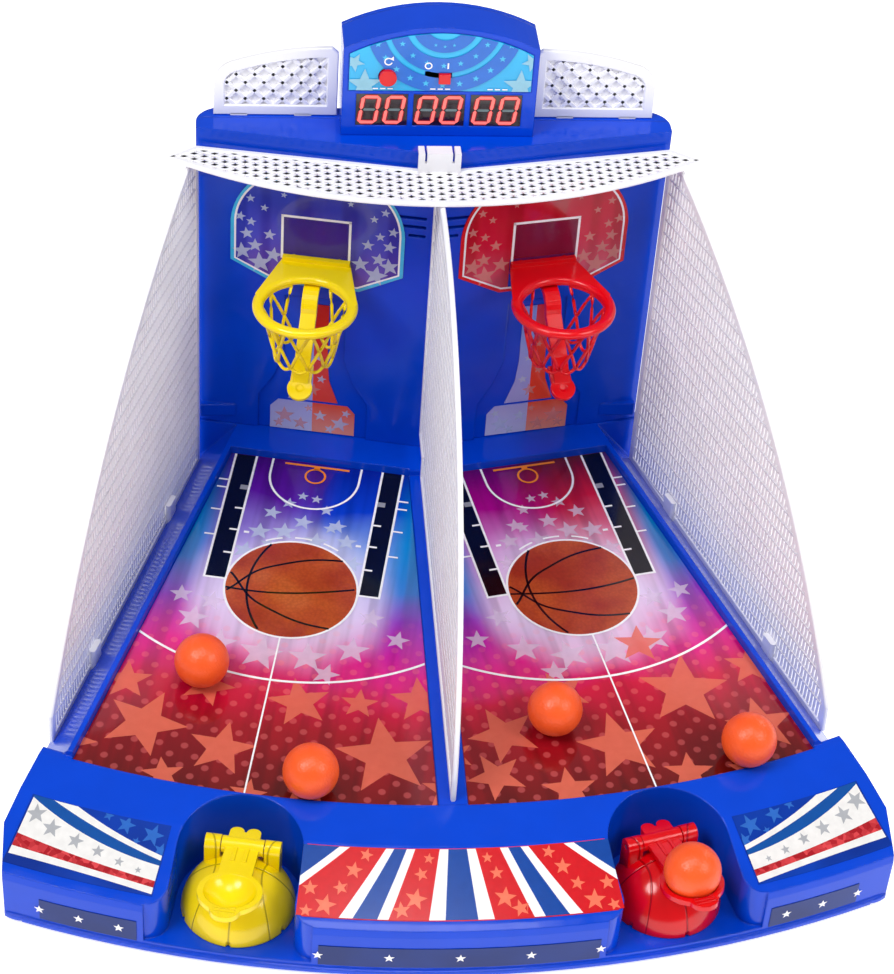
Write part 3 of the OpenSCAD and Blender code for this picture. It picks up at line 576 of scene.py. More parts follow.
def circle3(p, q, r, n=10):
    """Points on the arc from p through q to r."""
    ax, ay, bx, by, cx, cy = *p, *q, *r
    a2, b2, c2 = ax**2 + ay**2, bx**2 + by**2, cx**2 + cy**2
    d = 2 * (ax * (by - cy) + bx * (cy - ay) + cx * (ay - by))
    ux = (a2 * (by - cy) + b2 * (cy - ay) + c2 * (ay - by)) / d
    uy = (a2 * (cx - bx) + b2 * (ax - cx) + c2 * (bx - ax)) / d
    rad = math.hypot(ax - ux, ay - uy)
    a0 = math.atan2(ay - uy, ax - ux)
    a1 = math.atan2(cy - uy, cx - ux)
    turn = (a1 - a0 + math.pi) % (2 * math.pi) - math.pi
    angles = [a0 + turn * k / n for k in range(n + 1)]
    return [(ux + rad * math.cos(a), uy + rad * math.sin(a)) for a in angles]


DOWN = math.pi  # turn of a star whose point looks toward the player


class Print:
    """Flat printed shapes on a surface: place(u, v, h) gives the point h mm above the surface.

    Shapes are cut to the border, and into strips of that width where the surface is curved. A shape on a
    higher layer lies over the lower ones.
    """

    LAYER = 0.03

    def __init__(self, name, place, border=None, slot=None, strips=None):
        self.name, self.place, self.border = name, place, border
        self.slot, self.strips = slot, strips
        self.v, self.f, self.ids, self.mats = [], [], [], []

    def shape(self, poly, colour, layer=1):
        if signed_area(poly) < 0:
            poly = poly[::-1]
        if self.border:
            poly = clip_convex(poly, self.border)
        if len(poly) < 3:
            return
        if colour not in self.mats:
            self.mats.append(colour)
        for part in self.parts(poly):
            base = len(self.v)
            self.v += [self.place(u, w, self.LAYER * layer) for u, w in part]
            self.f.append(list(range(base, base + len(part))))
            self.ids.append(self.mats.index(colour))

    def parts(self, poly):
        if not self.strips:
            return [poly]
        k0 = math.floor(min(p[0] for p in poly) / self.strips)
        k1 = math.ceil(max(p[0] for p in poly) / self.strips)
        out = []
        for k in range(k0, k1):
            a, b = k * self.strips, (k + 1) * self.strips
            part = clip_line(poly, (a, 1e4), (a, -1e4))
            part = clip_line(part, (b, -1e4), (b, 1e4)) if len(part) > 2 else []
            if len(part) > 2:
                out.append(part)
        return out

    def shapes(self, polys, colour, layer=1):
        for p in polys:
            self.shape(p, colour, layer)

    def done(self):
        make(self.name, self.v, self.f, [INK[c] for c in self.mats], self.ids, slot=self.slot)


# ---------- court prints

LANE_IN, LANE_OUT = (6.2, 16.4), (80.2, 90.8)  # the black lanes beside the key
COURT_FRONT_R = 458.8  # radius of the courts' front edge, about the fan's middle


def court_place(side):
    """A court's own directions: t across it and out toward the player."""
    c, s = math.cos(TURN), math.sin(TURN)

    def place(t, out, h):
        x, y = t * c + out * s, PANEL_Y + t * s - out * c
        return (side * x, y, COURT_Z + COURT_SLOPE * y + h)

    return place


def court_border():
    """The court card's outline, in the court's own directions."""
    c, s = math.cos(TURN), math.sin(TURN)

    def local(x, y):
        return (x * c + (y - PANEL_Y) * s, x * s - (y - PANEL_Y) * c)

    inner_x, outer_x = 7.1, 167.7
    pts = [(inner_x, 109.6), (94.6, 126.6)]
    a0 = math.asin(outer_x / COURT_FRONT_R)
    a1 = math.asin(inner_x / COURT_FRONT_R)
    for k in range(25):
        a = a0 - (a0 - a1) * k / 24
        pts.append((COURT_FRONT_R * math.sin(a), FAN_Y - COURT_FRONT_R * math.cos(a)))
    q = [local(*p) for p in pts]
    return q if signed_area(q) > 0 else q[::-1]


def court_stars(p, side):
    """Small stars near the hoop and a ring of them round the ball, then large ones toward the player."""
    rnd = random.Random(11 + side)
    first = [(46, 43, 2.6), (53, 42, 2.6), (59, 48, 3.4), (40, 50, 3.2), (50, 60, 4.6), (66, 56, 4.2),
             (33, 60, 4.2), (58, 68, 5.4), (42, 72, 5.4), (70, 70, 5.2), (27, 70, 4.8), (75, 84, 5.4),
             (22, 84, 4.6), (36, 62, 3.4), (64, 78, 4.0)]
    for t, s, r in first:
        p.shape(star(t, s, r * 1.15, rnd.uniform(-0.15, 0.15) + DOWN), "ice" if side < 0 else "pale", 2)
    ring = [(8, 118, 6.5), (14, 140, 8.5), (34, 148, 9.5), (56, 149, 11), (76, 146, 9), (91, 132, 8),
            (84, 120, 6.5), (99, 118, 6), (-6, 130, 6), (24, 157, 7)]
    for t, s, r in ring:
        p.shape(star(t, s, r, rnd.uniform(-0.2, 0.2) + DOWN), "pale", 2)
    left = [(100, 200, 20), (63, 209, 16), (-10, 201, 23), (33, 176, 15), (-21, 165, 14), (76, 173, 13),
            (113, 176, 12), (22, 224, 13), (132, 216, 14), (-40, 216, 12), (47, 233, 9), (6, 172, 9),
            (86, 228, 10)]
    right = [(-10, 189, 17), (40, 206, 20), (80, 180, 22), (-20, 212, 14), (23, 170, 14), (68, 148, 12),
             (108, 208, 17), (116, 172, 13), (10, 226, 13), (136, 216, 12), (66, 228, 12), (-36, 196, 10),
             (92, 232, 9)]
    for i, (t, s, r) in enumerate(left if side < 0 else right):
        p.shape(star(t, s, r, rnd.uniform(-0.3, 0.3) + DOWN), "blaze", 2 + i % 2)


def court_lanes(p):
    """Black lanes with white edges, marks on the inside and ticks on the outside."""
    for lo, hi in (LANE_IN, LANE_OUT):
        p.shape(rect(lo, 14, hi, 105), "black", 4)
        for x in (lo, hi):
            p.shape(rect(x - 0.55, 14, x + 0.55, 105), "white", 5)
        p.shape(rect(lo - 0.55, 104, hi + 0.55, 105.2), "white", 6)
        step = -1 if lo < MID else 1
        near, far = (hi, lo) if lo < MID else (lo, hi)
        for i, s in enumerate((41, 56, 71, 87)):
            a, b = sorted((near + step * 0.6, near + step * 4.4))
            if i:
                p.shape(rect(a, s - 0.55, b, s + 0.55), "white", 6)
            else:
                p.shape(rect(a, s - 1.6, b, s + 1.6), "grey", 6)
        for s in (37, 42.5, 58.5, 76):
            a, b = sorted((far + 0.4 * step, far + step * 5.2))
            p.shape(rect(a, s - 0.5, b, s + 0.5), "white", 6)


def court_ball(p, flip):
    """A plain basketball with its seams; flip mirrors them."""
    p.shape(disc(MID, BALL_S, BALL_R + 1.1, 72), "white", 9)
    p.shape(disc(MID, BALL_S, BALL_R, 72), "ball", 10)

    def seam(points):
        inside = [q for q in points if math.hypot(q[0] - MID, q[1] - BALL_S) < BALL_R + 0.1]
        if len(inside) > 1:
            p.shapes(band(inside, 1.15), "black", 11)

    bow = MID + flip * 31
    seam(arc_points(bow, 104, 52, 90, 270 if flip > 0 else -90, 90))
    seam([(MID - 32 + k, BALL_S + 7 * math.sin(0.035 * k) - 3.4 + (64 - 2 * k) * 0.03 * flip)
          for k in range(66)])
    for up in (1, -1):
        pts = []
        for k in range(71):
            u = (k - 35) / 35
            far = 0.5 * (1 + math.tanh(2.2 * (u * flip + 0.15)))
            dip = math.exp(-((u * flip + 1.0) ** 2) * 9)
            pts.append((MID + 33 * u, BALL_S + up * (9.5 + 13.5 * far - 17 * dip)))
        seam(pts)


def court_print(side, word):
    p = Print("court_artwork_" + word, court_place(side), court_border(), slot="court_" + word)
    court_stars(p, side)
    court_lanes(p)
    # the key's curve, the hoop seen from above, the ball
    key = [(27.0, 17), *arc_points(MID + 0.9, 28, 22.3, 180, 0, 40), (71.8, 17)]
    p.shapes(band(key, 1.1), "white", 7)
    p.shape(rect(33, 19.3, 65.5, 20.6), "orange", 7)
    p.shape(rect(47.6, 20.4, 50.6, 22.4), "orange", 8)
    p.shapes(band(arc_points(MID + 0.7, 27.0, 4.9, 0, 360, 40), 1.0), "orange", 8)
    court_ball(p, -1 if side < 0 else 1)
    # the far arc, the middle line and the dashes behind the ball
    p.shapes(band(arc_points(MID, 46.5, 118.3, 20, 160, 90), 1.25), "white", 7)
    p.shape(rect(MID - 0.45, 137.5, MID + 0.35, 236), "white", 6)
    for t in (21, 76):
        p.shape(rect(t - 1.3, 71, t + 1.3, 72.4), "white", 6)
    for a in (238, 262, 286):
        p.shapes(band(arc_points(MID, BALL_S, 34.6, a, a + 14, 8), 1.0), "white", 8)
    p.done()


for side, word, toy in SIDES:
    court_print(side, word)


# ---------- backboards and stands


def panel_place(side, lift):
    """A backboard panel's own directions: t along it and z up, lift mm in front of it."""
    c, s = math.cos(TURN), math.sin(TURN)

    def place(t, z, h):
        x, y = t * c + (lift + h) * s, PANEL_Y + t * s - (lift + h) * c
        return (side * x, y, z)

    return place


def board_outline(inset):
    """The backboard's outline, drawn in by inset."""
    w = 42 - inset
    half = [(21 - inset * 0.4, 153 + inset), (w, 164 + inset * 0.5)]
    half += circle3((w, 187), (37.5 - inset, 202), (28 - inset * 0.4, 213 - inset))
    return [(PANEL_MID + x, z) for x, z in half] + [(PANEL_MID - x, z) for x, z in reversed(half)]


def board_print(side, word):
    outline = board_outline(0.1)
    p = Print("backboard_artwork_" + word, panel_place(side, 0.38), outline, slot="backboard_" + word)
    lines = ((1.0, 2.2, "skyblue" if side < 0 else "red", 2), (2.3, 1.0, "white", 4))
    for inward, width, colour, layer in lines:
        line = board_outline(inward)
        p.shapes(band([*line, line[0]], width), colour, layer)
    rnd = random.Random(5)
    stars = [(-36, 169, 4.6), (-35, 180, 3.2), (-30, 174, 3.6), (-28, 163, 5.6), (-37, 190, 2.6),
             (-31, 186, 2.4), (-33, 199, 2.2), (-26, 196, 2.0), (-24, 180, 3.0), (-24, 208, 1.8),
             (-16, 203, 1.6), (-22, 170, 4.2)]
    for x, z, r in stars:
        for k in (-1, 1):
            at = (PANEL_MID + k * x + rnd.uniform(-1, 1), z + rnd.uniform(-1, 1))
            p.shape(star(*at, r * 1.1, rnd.uniform(-0.2, 0.2)), "ice" if side < 0 else "rose", 3)
    p.shape(rect(39.8, 168, 72.5, 192.6), "purple" if side < 0 else "wine", 4)
    for q in (rect(39.3, 168, 40.5, 192.6), rect(71.8, 168, 73, 192.6), rect(39.3, 191.6, 73, 192.9)):
        p.shape(q, "white", 5)
    p.done()


def stand_print(side, word):
    p = Print("stand_artwork_" + word, panel_place(side, -0.6), slot="label_stand")
    rnd = random.Random(3)
    stars = [(-14, 70, 5), (-4, 74, 3.6), (6, 68, 4.2), (14, 72, 5.4), (17, 67, 3), (-17, 77, 2.6),
             (-9, 66, 3), (2, 78, 2.4), (0, 90, 4), (-4, 97, 2.6), (4, 102, 2.4), (-2, 110, 2.2), (3, 118, 1.8)]
    for x, z, r in stars:
        p.shape(star(PANEL_MID + x, z, r, rnd.uniform(-0.3, 0.3)), "ice" if x < 0 else "rose", 2)
    p.done()


for side, word, toy in SIDES:
    board_print(side, word)
    stand_print(side, word)


# ---------- scoreboard

BOARD_Y = 141.0  # the scoreboard's front
WINDOWS_X = (-26.5, 0, 26.5)  # middles of the three displays
DIGIT_Z = 249.9  # middle of the digits


def score_outline():
    top = circle3((41.9, 279.1), (0, 290.1), (-41.9, 279.1), 24)
    return [(-41.9, 260.4), (41.9, 260.4), *top]


def score_print():
    def place(x, z, h):
        return (x, BOARD_Y - 0.38 - h, z)

    p = Print("scoreboard_artwork", place, score_outline(), slot="label_score")
    cx, cz = 1.0, 296.0
    for r0, r1 in ((9.2, 15.6), (18.6, 26.2), (28.8, 36.4)):
        p.shapes(band(arc_points(cx, cz, (r0 + r1) / 2, 180, 360, 60), r1 - r0), "midblue", 1)
    for r, n, size in ((12.4, 3, 0.9), (22.4, 9, 1.5), (32.6, 13, 1.7)):
        for k in range(n):
            a = math.radians(180 + 180 * (k + 0.5) / n) if n > 3 else math.radians(250 + 20 * k)
            p.shape(star(cx + r * math.cos(a), cz + r * math.sin(a), size, 0), "skyblue", 2)
    large = ((-35, 263.5, 8.4, 0.0), (37, 263.5, 8.4, 0.0), (-40, 275, 5, 0.5), (41.5, 276, 5, -0.5))
    for x, z, r, turn in large:
        p.shape(star(x, z, r, turn), "mist", 3)
    # plain signs in place of words: a circling arrow over the button, a bar and a ring over the switch
    reset_x = -24.4
    p.shapes(band(arc_points(reset_x, 275.6, 1.7, 60, 340, 20), 0.6), "white", 5)
    p.shape([(reset_x + 0.7, 276.9), (reset_x + 2.2, 278.3), (reset_x + 2.4, 276.0)], "white", 5)
    p.shapes(band(arc_points(-6.0, 273.6, 1.5, 0, 360, 20), 0.6), "white", 5)
    p.shape(rect(2.7, 272.1, 3.4, 275.1), "white", 5)
    for x in WINDOWS_X:
        for j in range(3):
            p.shape(rect(x - 4.6 + j * 3.4, 261.2, x - 2.2 + j * 3.4, 261.8), "white", 5)
    p.done()


def digits():
    """Two zeros in each display: lit segments ringed by a dark red painted glow, the middle one unlit."""
    v, f, ids = [], [], []
    lit, painted_glow, unlit = range(3)

    def segment(cx, cz, along, length, width, grow, mat, h):
        a, w = length / 2 + grow * 0.4, width / 2 + grow
        base = len(v)
        for px, pz in [(-a, 0), (-a + w, w), (a - w, w), (a, 0), (a - w, -w), (-a + w, -w)]:
            x, z = (px, pz) if along == "x" else (-pz, px)
            x, z = x + cx, z + cz
            v.append((x + (z - DIGIT_Z) * SEVEN_LEAN, BOARD_Y + 0.2 - h, z))
        f.append(list(range(base, base + 6)))
        ids.append(mat)

    for c in [x + d for x in WINDOWS_X for d in (-5.8, 5.8)]:
        # each segment twice: a grown copy as painted glow, then the lit segment over it
        for grow, mat, h in ((0.55, painted_glow, 0.05), (0.0, lit, 0.1)):
            for z in (243.2, 256.6):
                segment(c, z, "x", 7.2, 1.5, grow, mat, h)
            for dx in (-3.7, 3.7):
                for z in (246.5, 253.3):
                    segment(c + dx, z, "z", 6.6, 1.5, grow, mat, h)
        segment(c, DIGIT_Z, "x", 5.8, 1.3, 0.0, unlit, 0.08)
    make("display_digits", v, f, [m_segment, m_painted_glow, m_unlit], ids, slot="display")


score_print()
digits()


# ---------- console prints


def cone_place(v, angle, h):
    """v mm toward the player and an angle in degrees about the fan's middle, on the sloping top."""
    a = math.radians(angle)
    r = CONSOLE_R + v
    return (r * math.sin(a), FAN_Y - r * math.cos(a), CONSOLE_Z - CONSOLE_FALL * v + 0.3 + h)


class ConePrint(Print):
    """Prints laid out in (degrees round the console, distance toward the player in mm)."""

    def __init__(self, name, slot, border=None):
        super().__init__(name, lambda u, v, h: cone_place(v, u, h), border, slot=slot, strips=0.8)


R0, R1 = 1.8, 33.2  # back and front edges of the console labels
PER_MM = 180 / math.pi / 497  # degrees round the console for a millimetre


def console_centre():
    """Rays of colour spreading toward the player, with stars on the red ones."""
    p = ConePrint("console_artwork_centre", "label_centre", rect(-7.95, R0, 7.95, R1))
    # half angles of each ray's outer edge at the label's back and front, from the middle outward
    rays = [("deepblue", 0.48, 0.79), ("white", 0.93, 1.58), ("red", 2.2, 3.52), ("white", 2.63, 4.06),
            ("deepblue", 3.28, 5.24), ("white", 3.7, 5.9), ("red", 5.57, 9.6), ("white", 6.1, 10.2),
            ("deepblue", 9, 14)]
    back, front = 0.0, 0.0
    for colour, back2, front2 in rays:
        for k in (-1, 1):
            p.shape([(k * back, R0), (k * back2, R0), (k * front2, R1), (k * front, R1)], colour, 2)
        back, front = back2, front2
    rnd = random.Random(8)
    stars = [(1.5, 6, 2.6), (1.9, 13, 3.2), (2.2, 24, 5), (2.9, 29, 4), (4.7, 5, 3.2), (5.3, 12, 4),
             (5.9, 20, 3.4), (6.6, 28, 5), (7.4, 21, 3.6), (7.5, 31, 3)]
    for k in (-1, 1):
        for u, v, r in stars:
            turned = star(k * u / PER_MM, v, r, rnd.uniform(-0.3, 0.3) + DOWN)
            p.shape(squeezed(turned, PER_MM), "coral", 3)
    p.done()


console_centre()


def console_side(side, word):
    """Curved stripes from the outer back corner to the inner front one, with two rows of stars."""
    lo, hi = 14.95, 22.4
    border = [(side * lo, R0), (side * hi, R0), (side * hi, R1), (side * lo, R1)]
    p = ConePrint("console_artwork_" + word, "label_side", border if side > 0 else border[::-1])

    def edge(a, b, c):
        """A curve at a, b and c of the label's depth: at its inner edge, its middle and its outer edge."""
        out = []
        for k in range(17):
            f = k / 16
            d = a * (1 - f) * (1 - 2 * f) + 4 * b * f * (1 - f) + c * f * (2 * f - 1)
            out.append((side * (lo - 0.1 + (hi - lo + 0.2) * f), R0 + (R1 - R0) * d))
        return out

    def stars(rows, colour, layer):
        for f, d, r, turn in rows:
            u = (lo + (hi - lo) * f) * side / PER_MM
            p.shape(squeezed(star(u, R0 + (R1 - R0) * d, r, DOWN + turn), PER_MM), colour, layer)

    lines = [edge(0.44, 0.13, -0.30), edge(0.51, 0.23, -0.12), edge(0.58, 0.39, 0.02), edge(0.80, 0.69, 0.57),
             edge(0.895, 0.80, 0.76), edge(0.99, 0.89, 0.88)]
    for colour, upper, lower in zip(("cream", "steelblue", "cream", "glitter", "cream"), lines, lines[1:]):
        for k in range(16):
            p.shape([upper[k], upper[k + 1], lower[k + 1], lower[k]], colour, 3)
    stars([(0.13, 0.69, 1.6, 0.2), (0.27, 0.63, 2.3, 0), (0.43, 0.55, 3.0, 0.15), (0.60, 0.48, 3.8, -0.1),
           (0.79, 0.39, 4.5, 0.1), (0.93, 0.25, 4.8, 0.3)], "silver", 4)
    corner = [(0.10, 0.17, 5.2), (0.30, 0.10, 4.4), (0.02, 0.36, 3.4), (0.44, 0.02, 2.6), (0.2, 0.30, 2)]
    stars([(*row, 0.2 * side) for row in corner], "dusk", 2)
    p.done()


for side, word, toy in SIDES:
    console_side(side, word)


def front_strip():
    """White stars on the strips along the base's front edge."""
    radius = 519.15

    def place(u, v, h):
        a = math.radians(u)
        return ((radius + h) * math.sin(a), FAN_Y - (radius + h) * math.cos(a), v)

    p = Print("front_strip_artwork", place, slot="label_front", strips=0.8)
    per_mm = 180 / math.pi / 519
    for centre, count, gap in ((-18.4, 3, 2.0), (0.0, 5, 3.4), (18.4, 3, 2.0)):
        for k in range(count):
            u = (centre + (k - (count - 1) / 2) * gap) / per_mm
            p.shape(squeezed(star(u, 12.5, 2.5), per_mm), "white", 2)
    p.done()


front_strip()

# ---------- nets


def tube_strip(points, radius, sides=8):
    """Verts and faces of a round rod along points."""
    v, f = [], []
    n = len(points)
    pts = [Vector(p) for p in points]
    for i, p in enumerate(pts):
        d = (pts[min(n - 1, i + 1)] - pts[max(0, i - 1)]).normalized()
        u = d.cross(Vector((0, 0, 1)) if abs(d.z) < 0.9 else Vector((0, 1, 0))).normalized()
        w = d.cross(u)
        for k in range(sides):
            ang = 2 * math.pi * k / sides
            v.append(tuple(p + (u * math.cos(ang) + w * math.sin(ang)) * radius))
    for i in range(0, (n - 1) * sides, sides):
        for k in range(sides):
            m = (k + 1) % sides
            f.append((i + k, i + m, i + sides + m, i + sides + k))
    f.append(tuple(reversed(range(sides))))
    f.append(tuple(range((n - 1) * sides, n * sides)))
    return v, f


def corners(outline):
    """For each point of a closed outline, how far a unit step inward moves it, mitred."""
    sign = 1 if signed_area(outline) > 0 else -1
    out = []
    for i, p in enumerate(outline):
        a, b = outline[i - 1], outline[(i + 1) % len(outline)]
        d0 = Vector((p[0] - a[0], p[1] - a[1])).normalized()
        d1 = Vector((b[0] - p[0], b[1] - p[1])).normalized()
        n0, n1 = Vector((-d0.y, d0.x)) * sign, Vector((-d1.y, d1.x)) * sign
        m = (n0 + n1).normalized()
        out.append(m / max(0.35, m.dot(n0)))
    return out


def inset(outline, d):
    return [(p[0] + m.x * d, p[1] + m.y * d) for p, m in zip(outline, corners(outline))]


def profile(x0, x1, lo, hi, e):
    """An upright bar's section with its corners cut by e."""
    return [(x0, lo + e), (x0 + e, lo), (x1 - e, lo), (x1, lo + e),
            (x1, hi - e), (x1 - e, hi), (x0 + e, hi), (x0, hi - e)]


class Solid:
    """Collects boxes, bars and rods into one mesh, through a placing function."""

    def __init__(self, place):
        self.place, self.v, self.f = place, [], []

    def add(self, verts, faces):
        base = len(self.v)
        self.v += [self.place(*p) for p in verts]
        self.f += [[base + i for i in face] for face in faces]

    def bar(self, a, b, width, lo, hi, bevel=0.2):
        """A bevelled bar from a to b in the plane, from depth lo to hi."""
        dx, dy = b[0] - a[0], b[1] - a[1]
        k = math.hypot(dx, dy)
        if k < 1e-6:
            return
        nx, ny = -dy / k, dx / k
        w = width / 2
        e = min(bevel, w * 0.6, (hi - lo) * 0.45)
        v = [(p[0] + nx * o, p[1] + ny * o, h) for p in (a, b) for o, h in profile(-w, w, lo, hi, e)]
        f = [(i, (i + 1) % 8, 8 + (i + 1) % 8, 8 + i) for i in range(8)]
        self.add(v, [*f, tuple(range(7, -1, -1)), tuple(range(8, 16))])

    def loop(self, points, width, lo, hi, bevel=0.5):
        """A rim of even width along a closed outline."""
        n = len(points)
        section = profile(0, width, lo, hi, bevel)
        v = [(p[0] + m.x * o, p[1] + m.y * o, h) for p, m in zip(points, corners(points)) for o, h in section]
        f = []
        for i in range(n):
            j = (i + 1) % n
            f += [(i * 8 + k, i * 8 + (k + 1) % 8, j * 8 + (k + 1) % 8, j * 8 + k) for k in range(8)]
        self.add(v, f)


def spans(outline, axis, value):
    """Where the line axis = value crosses a closed outline, as pairs."""
    hits = []
    for p, q in zip(outline, outline[1:] + outline[:1]):
        a, b = p[axis], q[axis]
        if (a < value) != (b < value):
            k = (value - a) / (b - a)
            hits.append(p[1 - axis] + k * (q[1 - axis] - p[1 - axis]))
    hits.sort()
    return list(zip(hits[::2], hits[1::2]))


def grille(body, ribs, outline, thick, rib_from, rim_w):
    """Upright bars and cross ribs inside a rim; depth runs from 0 to thick."""
    inner = inset(outline, rim_w * 0.5)
    mid = thick / 2
    bar_pitch, bar_w, rib_pitch, rib_w = 2.8, 1.9, 7.4, 0.95
    x = min(p[0] for p in outline) + rim_w
    while x < max(p[0] for p in outline):
        for a, b in spans(inner, 0, x):
            body.bar((x, a), (x, b), bar_w, mid - 0.45, mid + 0.45, 0.25)
        x += bar_pitch
    z = rib_from
    while z < max(p[1] for p in outline):
        for a, b in spans(inner, 1, z):
            ribs.bar((a, z), (b, z), rib_w, mid - 0.8, mid + 0.8, 0.2)
        z += rib_pitch
    body.loop(outline, rim_w, 0.0, thick)


def lattice(body, inner, anchors, lean, low, high, steps, pivot, width, lo, hi):
    """Strands leaning both ways, kept where they lie inside. An anchor is a strand's place at pivot."""
    for x0 in anchors:
        for slope in (lean, -lean):
            run = []
            for i in range(steps + 2):
                y = low + (high - low) * i / steps
                x = x0 + slope * (y - pivot)
                if i <= steps and any(a <= x <= b for a, b in spans(inner, 1, y + 1e-4)):
                    run.append((x, y))
                    continue
                if len(run) > 1:
                    body.bar(run[0], run[-1], width, lo, hi, 0.3)
                run = []


def side_net(side, word):
    ax, ay, nx, ny = 0.3305, -0.9438, 0.9438, 0.3305  # along the net, and out from it

    def place(s, z, d):
        x = 110.3 + ax * s + nx * (d - 1.0)
        y = 146.5 + ay * s + ny * (d - 1.0)
        return (side * x, y, z)

    body, ribs = Solid(place), Solid(place)

    def foot(s):
        return 41.2 - 0.0536 * s

    curve = circle3((17, 225), (139, 136.5), (206, 46), 40)
    outline = [(4, foot(4)), (4, 225), *curve, (206.8, 31.5), (204.8, foot(204.8))]
    grille(body, ribs, outline, 2.0, 44.0, 4.2)
    make("side_net_ribs_" + word, ribs.v, ribs.f, [m_rib_painted_shade], slot="white_net")
    # tabs that hold the net to the base
    for s in (46, 150):
        base = foot(s) - 2.0
        body.bar((s + 4.5, base), (s + 4.5, base + 14), 9.0, -2.2, 0.8, 0.9)
    make("side_net_grille_" + word, body.v, body.f, [m_white], replaces=("side_net_" + word,),
                slot="white_net")


for side, word, toy in SIDES:
    side_net(side, word)


def centre_net():
    def place(y, z, d):
        return (d - 1.2, y, z)

    body, ribs = Solid(place), Solid(place)

    def foot(y):
        return COURT_Z + COURT_SLOPE * y + 1.1

    curve = circle3((95, 225.4), (-34, 180), (-100.5, 56), 40)
    outline = [(107.0, foot(107.0)), (107.0, 70), (125.0, 71), (125.0, 225.6), (96, 225.6), *curve[1:],
               (-100.5, foot(-100.5))]
    grille(body, ribs, outline, 2.4, 64.0, 4.0)
    make("centre_net_ribs", ribs.v, ribs.f, [m_rib_painted_shade], slot="white_net")
    make("centre_net_grille", body.v, body.f, [m_white], replaces=("centre_net",), slot="white_net")


centre_net()


def top_net():
    body = Solid(lambda x, y, d: (x, y, 226.0 + d))
    tip = (124.8, 134.6)
    back_mid = PANEL_Y - 2.6
    front = circle3((tip[0], tip[1] - 1.5), (0, 95.5), (-tip[0], tip[1] - 1.5), 60)
    outline = [(0, back_mid), (112, back_mid + 20), tip, *front, (-tip[0], tip[1]), (-112, back_mid + 20)]
    anchors = [k * 9.4 for k in range(-28, 29)]
    lattice(body, inset(outline, 1.6), anchors, 2.0, 90, 150, 240, 90, 2.3, 0.5, 1.9)
    body.loop(outline, 3.4, 0.0, 2.4, bevel=0.7)
    # the clip: a plate with two slots, hooked over the tower's edge
    body.bar((0, 121.5), (0, 123.7), 19.8, 0.0, 7.0, 0.2)
    for x, w in ((0, 11.8), (-8.4, 3.0), (8.4, 3.0)):
        body.bar((x, 121.52), (x, 123.68), w, 6.6, 12.4, 0.2)
        body.bar((x, 123.5), (x, 128.5), w - 0.1, 10.5, 12.35, 0.2)
    make("top_net_grille", body.v, body.f, [m_white], replaces=("top_net",), slot="white_net")


top_net()


def hoop_net(side, word, toy):
    """Moulded strands hanging from the hoop: crossing pairs, links, and a scalloped hem."""
    c, s = math.cos(TURN), math.sin(TURN)
    out = 35.4  # hoop's middle in front of the panel

    def place(u, v, z):
        t, d = PANEL_MID + u, v - out
        return (side * (t * c - d * s), PANEL_Y + t * s + d * c, z)

    body = Solid(place)

    def at(angle, z):
        fall = max(0.0, (164.1 - z) / 27.5)
        r = 20.6 - 7.0 * fall**0.8
        a = math.radians(angle)
        return (r * math.cos(a), r * math.sin(a), z)

    cells = 9
    gap = 27  # half the open stretch behind the paddle, degrees
    a0, a1 = 90 + gap, 450 - gap
    cell = (a1 - a0) / cells
    for i in range(cells):
        l, r = a0 + i * cell, a0 + (i + 1) * cell
        m = (l + r) / 2
        strands = [((l, 164.3), (m - 1.5, 151.5)), ((r, 164.3), (m + 1.5, 151.5)), ((m, 152.5), (m, 149.5)),
                   ((m, 150.5), (l + 1.0, 139.2)), ((m, 150.5), (r - 1.0, 139.2))]
        for p, q in strands:
            pts = [at(p[0] + (q[0] - p[0]) * k / 4, p[1] + (q[1] - p[1]) * k / 4) for k in range(5)]
            body.add(*tube_strip(pts, 0.8))
        hem = [at(l + cell * k / 8, 139.4 - 2.6 * math.sin(math.pi * k / 8)) for k in range(9)]
        body.add(*tube_strip(hem, 0.8))
    body.add(*tube_strip([at(a0 + (a1 - a0) * k / 60, 164.6) for k in range(61)], 1.0))
    make("hoop_net_strands_" + word, body.v, body.f, [toy], smooth=True,
                replaces=("hoop_net_" + word,), slot="yellow_plastic" if side < 0 else "red_plastic")


for side, word, toy in SIDES:
    hoop_net(side, word, toy)


def wing(side, word):
    body = Solid(lambda x, z, d: (side * x, 161 - d, z))
    low = 236.15
    rim = [(46, low), (103.8, low), *circle3((103.8, 254), (101, 260), (93, 264.6), 8),
           *circle3((92, 265), (70, 270.3), (49, 272), 12), (46, 269)]
    inner = inset(rim, 3.0)
    # sheet behind the lattice
    edge = inset(rim, 1.0)
    v = [(x, z, 0.9) for x, z in edge] + [(x, z, 0.4) for x, z in edge]
    n = len(edge)
    body.add(v, [tuple(range(n)), tuple(range(2 * n - 1, n - 1, -1))])
    anchors = [46 + k * 8.6 for k in range(-8, 16)]
    lattice(body, inner, anchors, 1, 234, 274, 60, 236, 2.0, 0.6, 2.4)
    body.loop(rim, 5.2, 0.0, 3.0)
    for x in (62, 92):
        body.bar((x, 231.2), (x, 237), 8.0, 0.0, 3.0, 0.3)
    make("wing_lattice_" + word, body.v, body.f, [m_white], replaces=("wing_" + word,), slot="white_net")


for side, word, toy in SIDES:
    wing(side, word)

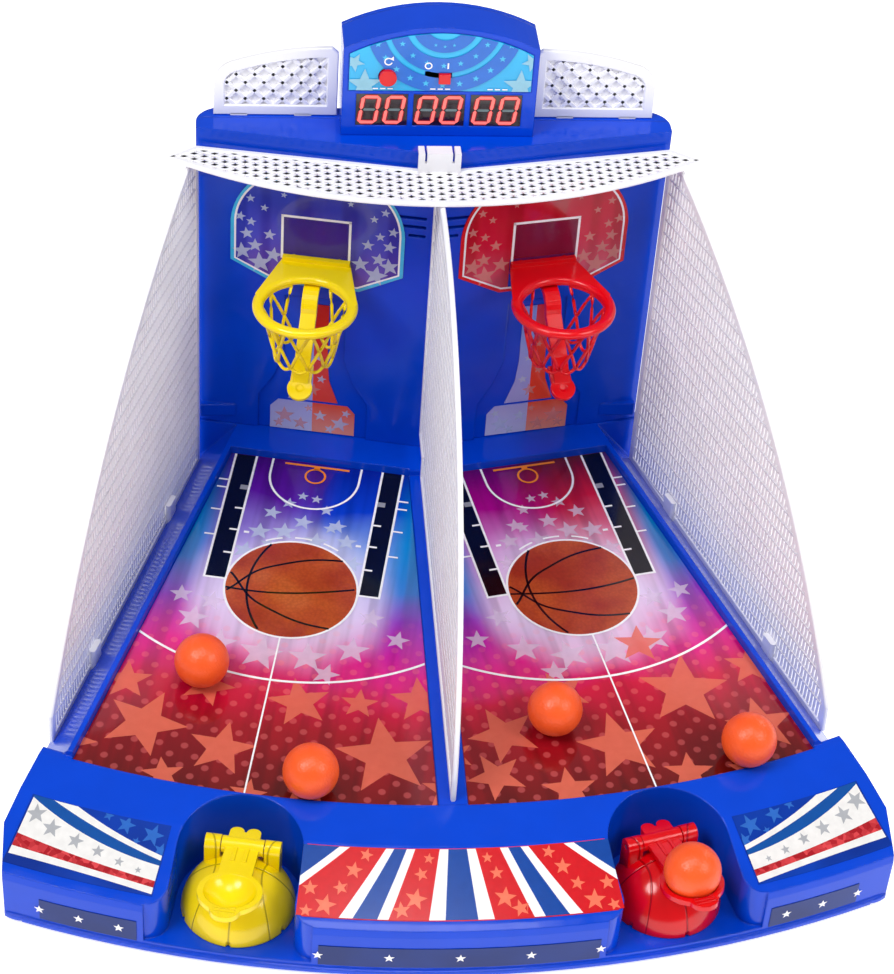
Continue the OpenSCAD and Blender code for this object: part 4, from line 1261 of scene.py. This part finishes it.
# ---------- studio


def studio():
    """A plain pale floor and soft lights."""
    half = 6
    me = bpy.data.meshes.new("floor")
    me.from_pydata([(*p, 0) for p in rect(-half, -half, half, half)], [], [(0, 1, 2, 3)])
    floor = bpy.data.objects.new("floor", me)
    bpy.context.scene.collection.objects.link(floor)
    m = Mat("pale_floor", (0.86, 0.86, 0.86, 1), 0.75)
    m.b.inputs["Emission Color"].default_value = (1, 1, 1, 1)
    m.b.inputs["Emission Strength"].default_value = 0.72
    m.bump(m.noise(30), 0.05, 0.0005)
    me.materials.append(m.m)
    for name, spot, size, power in (
        ("key", (-0.9, -0.6, 1.5), 0.7, 15),
        ("fill", (1.1, -0.7, 1.2), 0.8, 9),
        ("top", (0.0, -0.4, 1.9), 0.8, 9),
        ("back", (1.3, 0.9, 0.9), 0.5, 3),
    ):
        light = bpy.data.lights.new(name, "AREA")
        light.shape = "DISK"
        light.size = size
        light.energy = power
        o = bpy.data.objects.new(name, light)
        bpy.context.scene.collection.objects.link(o)
        o.location = spot
        o.rotation_euler = (Vector((0, 0, 0.1)) - Vector(spot)).to_track_quat("-Z", "Y").to_euler()
    world = bpy.data.worlds.new("studio")
    bpy.context.scene.world = world
    world.use_nodes = True
    sky = world.node_tree.nodes["Background"].inputs
    sky["Color"].default_value = (1, 1, 1, 1)
    sky["Strength"].default_value = 0.24
    bpy.context.scene.view_settings.view_transform = "Standard"


def camera():
    """The view from the player's side, standing a little to the left."""
    cam = bpy.data.cameras.new("camera")
    cam.lens = 94.84
    cam.sensor_width = 36.0
    view = bpy.data.objects.new("camera", cam)
    bpy.context.scene.collection.objects.link(view)
    right, down = (0.99537, -0.07674, 0.05785), (-0.00434, -0.6372, -0.77069)
    ahead = (0.096, 0.76687, -0.63458)
    turn = Matrix((right, tuple(-v for v in down), tuple(-v for v in ahead))).transposed().to_4x4()
    view.matrix_world = Matrix.Translation(Vector((-111.0, -881.5, 869.6)) * MM) @ turn
    bpy.context.scene.camera = view


studio()
camera()
